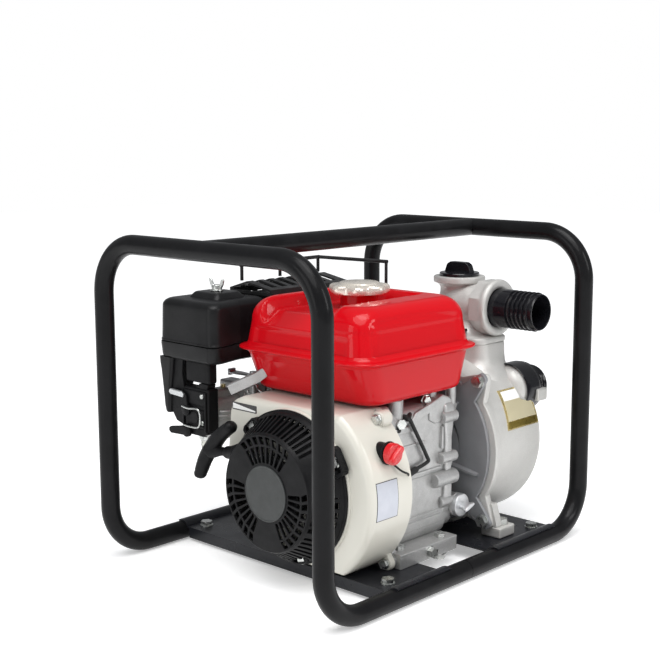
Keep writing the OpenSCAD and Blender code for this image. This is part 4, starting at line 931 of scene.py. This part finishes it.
def lever_pieces():
    a = lathe("choke_a", [(0.01, -151.2), (5.6, -151.0), (7.0, -150.2), (7.2, -147.0), (3.1, -146.4), (3.1, -142.4), (0.01, -142.4)], (-140, 0, 178), (0, 1, 0), "m_plastic_fine", n=32, body="choke_arm", replaces=("choke_lever",))
    b = prism("choke_b", fillet([(-145, 176), (-135, 176), (-138, 196), (-146, 202), (-150, 196)], 2, 4), "y", -150.6, -147.4, "m_plastic_fine", bevel=0.8, body="choke_arm")
    join("choke_arm_shell", [a, b])
    prism("choke_tip", fillet([(-168.5, 196.5), (-166, 194.8), (-143, 193.4), (-141.6, 198), (-146, 200.6), (-166, 201.6), (-168.6, 200)], 1.4, 4), "y", -152.4, -148.4, "m_silver", bevel=1.0, body="choke_arm")
    c = lathe("fuel_a", [(0.01, -151.2), (6.6, -151.0), (8.0, -150.2), (8.2, -147.0), (3.1, -146.4), (3.1, -142.4), (0.01, -142.4)], (-140, 0, 152), (0, 1, 0), "m_plastic_fine", n=32, body="fuel_arm", replaces=("fuel_lever",))
    d = prism("fuel_b", fillet([(-171.6, 147.0), (-168, 144.6), (-146, 145.6), (-140, 146.4), (-140, 158), (-146, 157.2), (-168, 153.4), (-171.8, 151.4)], 1.8, 4), "y", -151.2, -147.2, "m_plastic_fine", bevel=1.1, body="fuel_arm")
    join("fuel_arm_shell", [c, d])
    e = lathe("throt_a", [(0.01, 222.6), (4.6, 222.6), (5, 222.1), (5, 219.8), (7.4, 219.6), (7.4, 215.6), (5, 215.2), (5, 208), (0.01, 208)], (-92, -80, 0), (0, 0, 1), "m_silver", n=32, body="throttle_arm", replaces=("throttle_lever",))
    g = prism("throt_b", fillet([(-90, -84.4), (-90, -76), (-104, -75.4), (-120, -73.6), (-133.5, -74.6), (-134, -85.6), (-120, -87), (-104, -84.8)], 2.2, 4), "z", 216.0, 218.4, "m_silver", bevel=0.7, body="throttle_arm")
    h = prism("throt_c", fillet([(-134, -85.6), (-130, -85.8), (-130, -74.4), (-134, -74.4)], 1, 3), "z", 213.6, 221.4, "m_silver", bevel=0.8, body="throttle_arm")
    join("throttle_arm_shell", [e, g, h])


lever_pieces()
# stay above the cream cover: a folded channel
st0, st1 = Vector((-84, -127, 208)), Vector((-58, -104, 224))
dv = (st1 - st0).normalized()
sd = dv.cross(Vector((0, 0, 1))).normalized()
up = sd.cross(dv)
sec = []
for q in ((-6.5, -6), (-5, -6.2), (-4.9, 4.2), (4.9, 4.2), (5, -6.2), (6.5, -6), (6.4, 5.2), (5.4, 6.2), (-5.4, 6.2), (-6.4, 5.2)):
    sec.append(q)
rings = [[c + sd * q[0] + up * q[1] for q in sec] for c in (st0, st1, st1 + dv * 10 + Vector((0, 0, 3)))]
v, f = ringed(rings)
piece("throttle_stay", v, f, "m_alu", bevel=0.5, angle=30)
tube("governor_link", spline([(-92, -84, 212), (-78, -92, 213), (-66, -96, 206), (-58, -92, 200), (-52, -84, 200)], 8), 1.3, "m_zinc", n=10)

# ---------------------------------------------------------------- pump
DX, DZ = 38.0, 124.0
LUGS = [(126, 214), (136, 40), (-50, 214), (-60, 40)]


def flange_ring(r0, bulge, lug, n=360, low=18.6, smooth=5):
    rr = []
    for i in range(n):
        a = 2 * pi * i / n
        r = r0 + bulge * max(0.0, math.cos(a)) ** 1.5
        for px, pz in LUGS:
            D = math.hypot(px - DX, pz - DZ)
            d = (a - math.atan2(pz - DZ, px - DX) + pi) % (2 * pi) - pi
            k = D * math.sin(d)
            if abs(k) < lug and abs(d) < 1:
                r = max(r, D * math.cos(d) + math.sqrt(lug * lug - k * k))
        rr.append(r)
    sm_ = [sum(rr[(i + j) % n] for j in range(-smooth, smooth + 1)) / (2 * smooth + 1) for i in range(n)]
    out = []
    for i in range(n):
        a = 2 * pi * i / n
        r = sm_[i]
        if math.sin(a) < 0:
            r = min(r, (DZ - low) / -math.sin(a))
        out.append((DX + r * math.cos(a), DZ + r * math.sin(a)))
    return out


def pump_pieces():
    bolts = [circle(4.4, 20, p) for p in LUGS]
    parts = [lathe("casing_a", [(98, 97), (105.0, 97), (105.2, 112), (105.2, 196), (104.4, 201.5), (102, 205.8), (98, 208.8), (92, 210.2), (30, 210.4), (24, 210), (0.01, 210)], (DX, 0, DZ), (0, 1, 0), "m_pump", n=160, replaces=("pump_casing",), angle=40)]
    parts.append(plate("casing_b", flange_ring(106.0, 6.5, 13.0), [circle(99, 120, (DX, DZ))] + bolts, "y", -1, 1, "m_pump", edge=0.01) if False else plate("casing_b", flange_ring(106.0, 6.5, 13.0), [circle(99, 120, (DX, DZ))] + bolts, "y", 96.6, 104.2, "m_pump", edge=1.8, res=3))
    parts.append(plate("casing_c", flange_ring(105.6, 4.0, 10.4), [circle(99, 120, (DX, DZ))], "y", 104.0, 111.0, "m_pump", edge=2.2, res=3))
    # column under the elbow, flaring into the drum
    col = []
    for z, x0, x1, y0, y1, r in ((190, 0, 112, 120, 206, 30), (208, 10, 106, 130, 206, 28), (215, 17, 98, 139, 206, 24), (222, 20.5, 92, 145, 206.5, 19), (230, 22, 89, 148, 207, 16), (244, 22, 88, 149, 207, 15), (246.2, 22.6, 87.4, 149.6, 206.4, 15)):
        col.append([(*p, z) for p in rring(x0, x1, y0, y1, r, 6, 8)])
    v, f = ringed(col)
    parts.append(piece("casing_d", v, f, "m_pump", angle=60))
    parts.append(lathe("casing_e", [(20.6, 228), (28.6, 228), (28.9, 216.5), (31, 216), (32, 215), (32, 195), (31, 190), (28.4, 185), (23.5, 180), (16, 176.5), (8, 175)], (99, 0, 186), (0, 1, 0), "m_pump", n=72))
    parts.append(lathe("casing_f", [(0.01, 219.4), (8.6, 219.2), (10.6, 218.2), (11.4, 216), (11.8, 209)], (8, 0, 44), (0, 1, 0), "m_pump", n=6, bevel=0.6))
    # feet
    for s in (-1, 1):
        x = DX + s * 103
        parts.append(block("casing_foot%d" % s, x - 14.5, x + 14.5, 100, 132, 18.2, 31.6, "m_pump", bevel=2.2))
        web = fillet([(x - 8, 31), (x + 9, 31), (x + 6, 44), (x + 1 * s, 60), (x - 8, 60)], 2, 3)
        parts.append(prism("casing_web%d" % s, web, "y", 101, 112, "m_pump", bevel=1.5))
    join("pump_casing_shell", parts)
    # dark back cover: lugged plate, dished face, hub, ribs
    outer = flange_ring(103.6, 0, 11.5, smooth=2)
    parts = [plate("back_a", outer, [circle(60, 90, (DX, DZ))], "y", 91.0, 96.5, "m_backcover", edge=1.0, res=2)]
    parts[0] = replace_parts(parts[0], "pump_back_cover")
    parts.append(lathe("back_b", [(66, 95), (66, 91.6), (56, 90.2), (46, 87), (42.6, 82), (41.2, 75), (39.6, 73.3), (49.0, 73.0), (49.4, 72.2), (49.4, 65.4), (48.6, 64.6), (33, 64.6)], (34, 0, 113), (0, 1, 0), "m_backcover", n=96))
    for i in range(6):
        a = math.radians(50 + 60 * i)
        e = Vector((math.cos(a), 0, math.sin(a)))
        t = Vector((-e.z, 0, e.x))
        c = Vector((34, 0, 113))
        L = 95 if i in (0, 5) else 86
        rings = []
        for r, h in ((38, 10), (55, 8.0), (75, 6.4), (L - 6, 5.6), (L, 3.0)):
            b = c + e * r
            y = 92.2
            rings.append([b + t * -3.4 + Vector((0, y, 0)), b + t * -2.2 + Vector((0, y - h * 0.6, 0)), b + t * -1.3 + Vector((0, y - h, 0)), b + t * 1.3 + Vector((0, y - h, 0)), b + t * 2.2 + Vector((0, y - h * 0.6, 0)), b + t * 3.4 + Vector((0, y, 0))])
        v, f = ringed(rings)
        parts.append(piece("back_rib%d" % i, v, f, "m_backcover", angle=50))
    join("back_cover_shell", parts)
    # nameplate: blank, a bright upper field over a dark band, curved on the drum
    def patch(name, y0, y1, a0, a1, r, mt, skew=7.0):
        rings = []
        n = 18
        for i in range(n + 1):
            a = math.radians(lerp(a0, a1, i / n))
            lim = lerp(200, 177, sm((lerp(a0, a1, i / n) - 27.5) / 4))
            s = skew * (lerp(a0, a1, i / n) - 13) / 28
            p = lambda rr, y: (DX + rr * math.cos(a), y, DZ + rr * math.sin(a))
            rings.append([p(r, y0 + s), p(r, min(y1, lim)), p(r - 0.5, min(y1, lim)), p(r - 0.5, y0 + s)])
        v, f = ringed(rings)
        return piece(name, v, f, mt, angle=25)
    patch("nameplate", 134, 200, 12.6, 41, 105.75, "m_brass")
    patch("nameplate_field", 137.5, 197, 18.4, 32.5, 105.95, "m_nameplate")
    patch("nameplate_head", 138.5, 197.5, 32.5, 39.6, 105.95, "m_sticker_white")
    patch("nameplate_band", 136, 198.5, 13.4, 18.0, 105.95, "m_brass_dark")


material("m_nameplate", (0.80, 0.72, 0.48), 0.36, metal=0.6, bumps=[(1500, 0.04, 0.06, 2)], cvar=(26, (0.83, 0.76, 0.53), 0.4), rvar=(120, 0.32, 0.40))
pump_pieces()


def nut_vf(R, prof, origin, direction, n=8, steps=6):
    """An n-sided nut lofted along its axis: prof gives (scale of R, height, roundness 0 flat .. 1 circle)."""
    u, v, d = frame_of(direction)
    o = Vector(origin)
    rings = []
    N = n * steps * 2
    for k, h, rd in prof:
        row = []
        for i in range(N):
            a = 2 * pi * i / N
            q = (a + pi / n) % (2 * pi / n) - pi / n
            flat = math.cos(pi / n) / math.cos(q)
            rr = R * k * lerp(flat, 1.0, rd)
            row.append(o + (u * math.cos(a) + v * math.sin(a)) * rr + d * h)
        rings.append(row)
    return ringed(rings, cap0=False, cap1=False)


def elbow_pieces():
    parts = [lathe("elbow_a", [(0.01, 5.5), (12, 6.2), (21, 9), (27, 14), (30, 21), (31, 30), (31, 48), (29.6, 54), (29.0, 66)], (0, 187, 291), (1, 0, 0), "m_pump", n=80, replaces=("discharge_elbow",))]
    col = []
    for z, x0, x1, y0, y1, r in ((246.4, 20, 86, 148, 209, 14), (248, 19.2, 86.8, 147.2, 210, 15), (252.4, 19.2, 86.8, 147.2, 210, 15), (254, 20.4, 85.6, 148.4, 208.8, 15), (256, 18, 74, 154, 209, 22), (264, 13, 66, 157, 214, 25), (276, 9, 62, 158.5, 216, 27), (290, 8, 61, 158.5, 216, 26)):
        col.append([(*p, z) for p in rring(x0, x1, y0, y1, r, 6, 8)])
    v, f = ringed(col)
    parts.append(piece("elbow_b", v, f, "m_pump", angle=55))
    parts.append(lathe("elbow_c", [(30, 286), (28.6, 294), (26.2, 301), (24.8, 308), (24.8, 313), (26.4, 316.6), (30, 318.8), (33.0, 320.0), (33.8, 321.2), (33.8, 326.4), (33.0, 327.8), (31.8, 328.1), (22.6, 328.1), (22.2, 318)], (21, 187, 0), (0, 0, 1), "m_pump", n=80))
    join("elbow_shell", parts)
    P8 = [(0.80, 61.0, 0.3), (0.95, 61.2, 0.15), (1.0, 62.6, 0.0), (1.0, 74.0, 0.0), (0.985, 77.5, 0.35), (0.975, 79.5, 0.9), (0.985, 81.0, 1.0), (0.985, 84.4, 1.0), (0.95, 86.4, 1.0), (0.90, 87.2, 1.0), (0.80, 87.2, 1.0), (0.72, 86.2, 1.0), (0.68, 84.6, 1.0), (0.675, 80.0, 1.0)]
    v, f = nut_vf(37.2, P8, (0, 187, 291), (1, 0, 0))
    a = piece("nut_a", v, f, "m_pump", replaces=("union_nuts",), angle=35)
    P9 = [(0.92, 216.6, 0.6), (0.98, 217.4, 0.6), (0.98, 220.4, 0.7), (0.95, 221.8, 1.0), (0.86, 222.4, 1.0), (0.78, 222.2, 1.0), (0.77, 220.0, 1.0)]
    v, f = nut_vf(32.0, P9, (99, 0, 186), (0, 1, 0))
    b = piece("nut_b", v, f, "m_pump", angle=35)
    c = [block("nut_ear%d" % s, 99 + s * 31 - 6.5, 99 + s * 31 + 6.5, 206.0, 226.4, 172, 188, "m_pump", bevel=2.4) for s in (-1, 1)]
    join("union_nut_shells", [a, b] + c)
    # barbs
    def ribs(x0, n, pitch, r):
        out = []
        for i in range(n):
            x = x0 + pitch * i
            out += [(r - 1.7, x), (r - 1.5, x + 0.6), (r - 0.9, x + pitch * 0.45), (r - 0.1, x + pitch - 1.4), (r, x + pitch - 0.9), (r - 0.2, x + pitch - 0.35)]
        return out
    prof = [(20.5, 80), (24.6, 80), (24.8, 87.5), (25.0, 88.5), (25.0, 110.2), (24.7, 110.8)] + ribs(111.0, 5, 6.6, 24.9) + [(23.2, 144.2), (23.2, 148.4), (22.6, 149.6), (21.8, 150.0), (20.9, 149.8), (20.5, 149.2), (20.5, 80)]
    a = lathe("barb_a", prof, (0, 187, 291), (1, 0, 0), "m_gloss", n=88, replaces=("hose_barbs",), angle=35)
    prof = [(20.5, 222.6), (32.2, 222.6), (32.2, 188), (32.8, 187.4), (33.6, 188.2), (33.8, 190), (33.8, 214), (33.2, 216.6), (31.0, 219.6), (28.4, 222.6), (27.2, 225.4), (26.4, 226.2), (24.4, 226.8)] + ribs(227.2, 3, 5.6, 25.0) + [(23.4, 244.2), (23.2, 245.4), (22.4, 246.0), (21.0, 246.0), (20.5, 245.4), (20.5, 222.6)]
    b = lathe("barb_b", prof, (99, 0, 186), (0, 1, 0), "m_gloss", n=88, angle=35)
    join("hose_barb_shells", [a, b])
    # filler cap
    a = lathe("fillcap_a", [(21.4, 317), (21.4, 328.3), (25.4, 328.4), (26.2, 329.0), (26.2, 331.6), (25.4, 332.6), (23.2, 333.0), (8, 333.4), (0.01, 333.4)], (21, 187, 0), (0, 0, 1), "m_gloss", n=72, body="pump_cap", replaces=("filler_cap",))
    o = fillet([(-0.5, 332.5), (42.5, 332.5), (38.6, 343.0), (33, 346.2), (9, 346.2), (3.4, 343.0)], [1, 1, 5, 6, 6, 5], 5)
    b = prism("fillcap_b", o, "y", 182.2, 191.8, "m_gloss", bevel=2.2, seg=4, body="pump_cap")
    join("filler_cap_shell", [a, b])


elbow_pieces()
lathe("priming_screw", [(0.01, 0), (3.2, 0), (4.0, 0.8), (4.2, 6), (3.4, 7), (2.2, 7.4), (2.2, 18)], (60, 142, 262), (-0.35, 1, 0.0), "m_plastic_fine", n=24)

# ---------------------------------------------------------------- engine's right side
def engine_side():
    parts = []
    # joint column with its bosses
    rings = []
    for z, x1, y0, y1 in ((58, 111.2, 40, 58), (72, 113.4, 41, 58), (88, 114.6, 42, 57), (112, 114.6, 43, 56), (130, 114.8, 42.5, 56), (150, 114.4, 43.5, 56.5), (168, 115.6, 40, 58), (182, 116.4, 38.5, 59.5), (190, 114.8, 40, 58), (194, 111.4, 43, 55)):
        rings.append([(*p, z) for p in rrect(104, x1, y0, y1, 3.4, 5)])
    v, f = ringed(rings)
    parts.append(piece("side_col", v, f, "m_alu", angle=60))
    for nm, z, y0, y1, r, x in (("a", 126, 33, 62, 7.0, 113.0), ("b", 101, 20, 61, 9.2, 113.4), ("c", 176, 36, 62, 7.6, 112.4), ("d", 70, 36, 60, 7.4, 108.8)):
        parts.append(lathe("side_boss_" + nm, [(0.01, y0 + 1.2), (r * 0.42, y0 + 1.2), (r * 0.45, y0), (r - 1.2, y0), (r - 0.3, y0 + 0.6), (r, y0 + 1.8), (r, y1 - 2), (r - 0.8, y1 - 0.4), (r - 2, y1), (0.01, y1)], (x, 0, z), (0, 1, 0), "m_alu", n=40))
    parts.append(prism("side_arm", fillet([(14, 176), (14, 196), (40, 204), (56, 198), (58, 170), (40, 172), (26, 170)], [3, 4, 6, 8, 8, 4, 4], 5), "x", 100, 112.6, "m_alu", bevel=2.4))
    parts.append(prism("side_fin", fillet([(36, 138), (40, 138), (39.5, 164), (37.5, 166)], 0.8, 3), "x", 109, 113.4, "m_alu", bevel=0.8))
    # ridges and a raised blank panel on the wall
    for nm, y0, y1, z0, z1, h in (("a", -64, 38, 113.2, 116.4, 1.5), ("b", -64, 34, 60, 63, 1.3), ("c", -62, 30, 64.8, 110, 0.7), ("d", -64, 40, 47, 57, 1.6), ("e", -58, 8, 150, 153, 1.3)):
        parts.append(block("side_pad_" + nm, 108.6, 110 + h, y0, y1, z0, z1, "m_alu", bevel=0.6))
    parts.append(prism("side_shoulder", fillet([(-64, 176), (-24, 176), (-10, 190), (18, 197), (18, 186), (0, 181), (-16, 168), (-64, 168)], [2, 5, 6, 3, 3, 6, 6, 2], 5), "x", 108, 112.2, "m_alu", bevel=1.4))
    parts.append(lathe("oil_neck", [(8, 79), (12.2, 79), (12.6, 84), (13.4, 96), (13.6, 108), (14.4, 110), (14.4, 113.4), (13.6, 114.2), (8, 114.2)], (0, 68, 62), (1, 0, 0), "m_alu", n=48))
    parts.append(block("side_foot_lip", 118, 137.0, -67, 38, 32.4, 35.6, "m_alu", bevel=1.2))
    parts.append(block("side_foot", 96, 136.6, -67, 38, 17.9, 33.6, "m_alu", bevel=1.0))
    join("crankcase_details", parts)
    # tank posts with nuts
    a = [lathe("post_a", [(0.01, 176), (9.6, 176), (10.4, 177), (10.2, 190), (9.0, 200), (8.6, 207.5), (0.01, 207.5)], (101, -37, 0), (0, 0, 1), "m_alu", n=40),
         lathe("post_b", [(0.01, 186), (5.4, 186), (6.2, 187), (6.6, 198), (6.6, 207.5), (0.01, 207.5)], (99, 71, 0), (0, 0, 1), "m_alu", n=36),
         prism("post_arm", fillet([(84, 178), (104, 178), (106, 187), (84, 190)], 2, 4), "y", 56, 76, "m_alu", bevel=1.4)]
    join("tank_posts", a)
    b = [lathe("post_nut_a", [(0.01, 0), (5.8, 0), (6.4, 0.5), (6.4, 4.6), (0.01, 4.8)], (110.4, -38, 181), (0.9, -0.35, 0), "m_zinc", n=6, bevel=0.4),
         lathe("post_nut_b", [(0.01, 182.4), (5.8, 182.6), (6.2, 183.2), (6.2, 187.4), (0.01, 187.6)], (99, 71, 0), (0, 0, 1), "m_zinc", n=6, bevel=0.4),
         lathe("shroud_bolt", [(0.01, 0), (4.6, 0), (5.6, 0.8), (5.6, 4.0), (7.2, 4.4), (7.2, 5.6)], (107, 17, 199), (-0.9, 0.35, 0), "m_zinc", n=6, bevel=0.4)]
    join("post_nuts", b)
    lathe("post_rubber", [(0.01, 171), (9.2, 171), (9.8, 171.8), (9.8, 175.4), (9.2, 176.2), (0.01, 176.4)], (103, -42, 0), (0, 0, 1), "m_rubber", n=36)
    # cream lug on the fan cover with its bolt
    a = [lathe("cream_lug_a", [(4, -90.2), (7.8, -90.2), (9.0, -89.0), (9.2, -84), (9.2, -75), (8.4, -73.8)], (121, 0, 197), (0, 1, 0), "m_cream", n=40),
         prism("cream_lug_b", fillet([(112, 186), (126, 189), (120, 205), (106, 203)], 3, 4), "y", -84, -72, "m_cream", bevel=1.6)]
    join("cream_lug", a)
    lathe("cream_lug_bolt", [(0.01, -96.4), (4.8, -96.4), (5.8, -95.6), (5.8, -91.6), (7.0, -91.4), (7.0, -90.0), (0.01, -90.0)], (121, 0, 197), (0, 1, 0), "m_zinc", n=6, bevel=0.4)
    # red stop knob
    a = lathe("knob_a", [(5.9, 145), (5.9, 151.2), (11.0, 151.3), (12.2, 152.2), (12.4, 158.6), (11.6, 160.0), (10.4, 160.4), (0.01, 160.4)], (0, -104, 166), (1, 0, 0), "m_redplastic", n=56, body="switch_knob", replaces=("stop_knob",))
    sec = []
    t = math.radians(50)
    d = Vector((0, math.sin(t), math.cos(t)))
    w = Vector((0, -math.cos(t), math.sin(t)))
    c = Vector((0, -104, 166))
    rings = []
    for x, L, W in ((158, 12.2, 4.6), (162, 12.0, 4.2), (164.0, 11.4, 3.6), (164.8, 10.6, 2.8), (165.0, 9.6, 1.8)):
        row = []
        for i in range(36):
            q = 2 * pi * i / 36
            ex, ey = math.cos(q), math.sin(q)
            k = (abs(ex) ** 3.2 + abs(ey) ** 3.2) ** (-1 / 3.2)
            row.append(c + d * (ex * k * L) + w * (ey * k * W) + Vector((x, 0, 0)))
        rings.append(row)
    v, f = ringed(rings)
    b = piece("knob_b", v, f, "m_redplastic", body="switch_knob", angle=50)
    join("stop_knob_shell", [a, b])
    lathe("switch_body", [(10.6, 124), (10.6, 147), (12.6, 148.2), (13.2, 149), (13.2, 150.6), (12.6, 151.0), (6.1, 151.0)], (0, -104, 166), (1, 0, 0), "m_plastic_fine", n=56, replaces=("stop_switch",))
    # cable with its sleeve and the thin lead under the knob
    a = tube("cable_a", spline([(113.5, -30, 187), (115.5, -26, 184), (116, -20, 174), (115.6, -4, 150), (115.4, 6, 134), (115.2, 8.5, 129), (114.8, 3, 126.4), (114.6, -12, 123.2), (114.6, -24, 120.2), (114.8, -34, 117.8)], 9), 2.3, "m_rubber", n=14, replaces=("switch_cable",))
    b = tube("cable_b", spline([(114.6, -14, 122.8), (114.8, -26, 119.8), (115, -40, 116.6)], 6), 4.0, "m_rubber", n=14)
    c1 = tube("cable_c", spline([(115, -40, 116.6), (128, -56, 120), (146, -69, 131), (156.4, -78, 138), (157.0, -90, 144), (152.6, -97, 151), (149.8, -101, 155)], 8), 1.25, "m_rubber", n=10)
    d1 = tube("cable_d", spline([(104, -34, 186), (108, -32, 188), (113.5, -30, 187.5)], 6), 3.4, "m_rubber", n=12)
    e1 = tube("cable_e", spline([(106, -16, 188), (112, -24, 187.5), (115.5, -31, 186)], 6), 3.0, "m_rubber", n=12)
    join("switch_cable_shell", [a, b, c1, d1, e1])
    # dipstick with a flat disc and a finger bar
    a = lathe("dip_a", [(0.01, 86), (2.5, 86), (2.5, 97), (7.8, 97), (7.8, 113.4), (13.2, 114.4), (14.4, 115.2), (14.6, 119.2), (13.8, 120.8), (12.4, 121.2), (0.01, 121.2)], (0, 68, 62), (1, 0, 0), "m_silver", n=64, body="oil_cap", replaces=("dipstick",))
    rings = []
    for x, L, W in ((120.6, 6.0, 3.2), (127, 6.6, 2.9), (131, 9.6, 2.7), (133.2, 9.4, 2.3), (133.9, 8.6, 1.5)):
        row = []
        for i in range(28):
            q = 2 * pi * i / 28
            ex, ey = math.cos(q), math.sin(q)
            k = (abs(ex) ** 3 + abs(ey) ** 3) ** (-1 / 3)
            row.append((x, 68 + ex * k * L * 0.94 - ey * k * W * 0.34, 62 + ey * k * W * 0.94 + ex * k * L * 0.34))
        rings.append(row)
    v, f = ringed(rings)
    b = piece("dip_b", v, f, "m_silver", body="oil_cap", angle=45)
    join("dipstick_shell", [a, b])


engine_side()
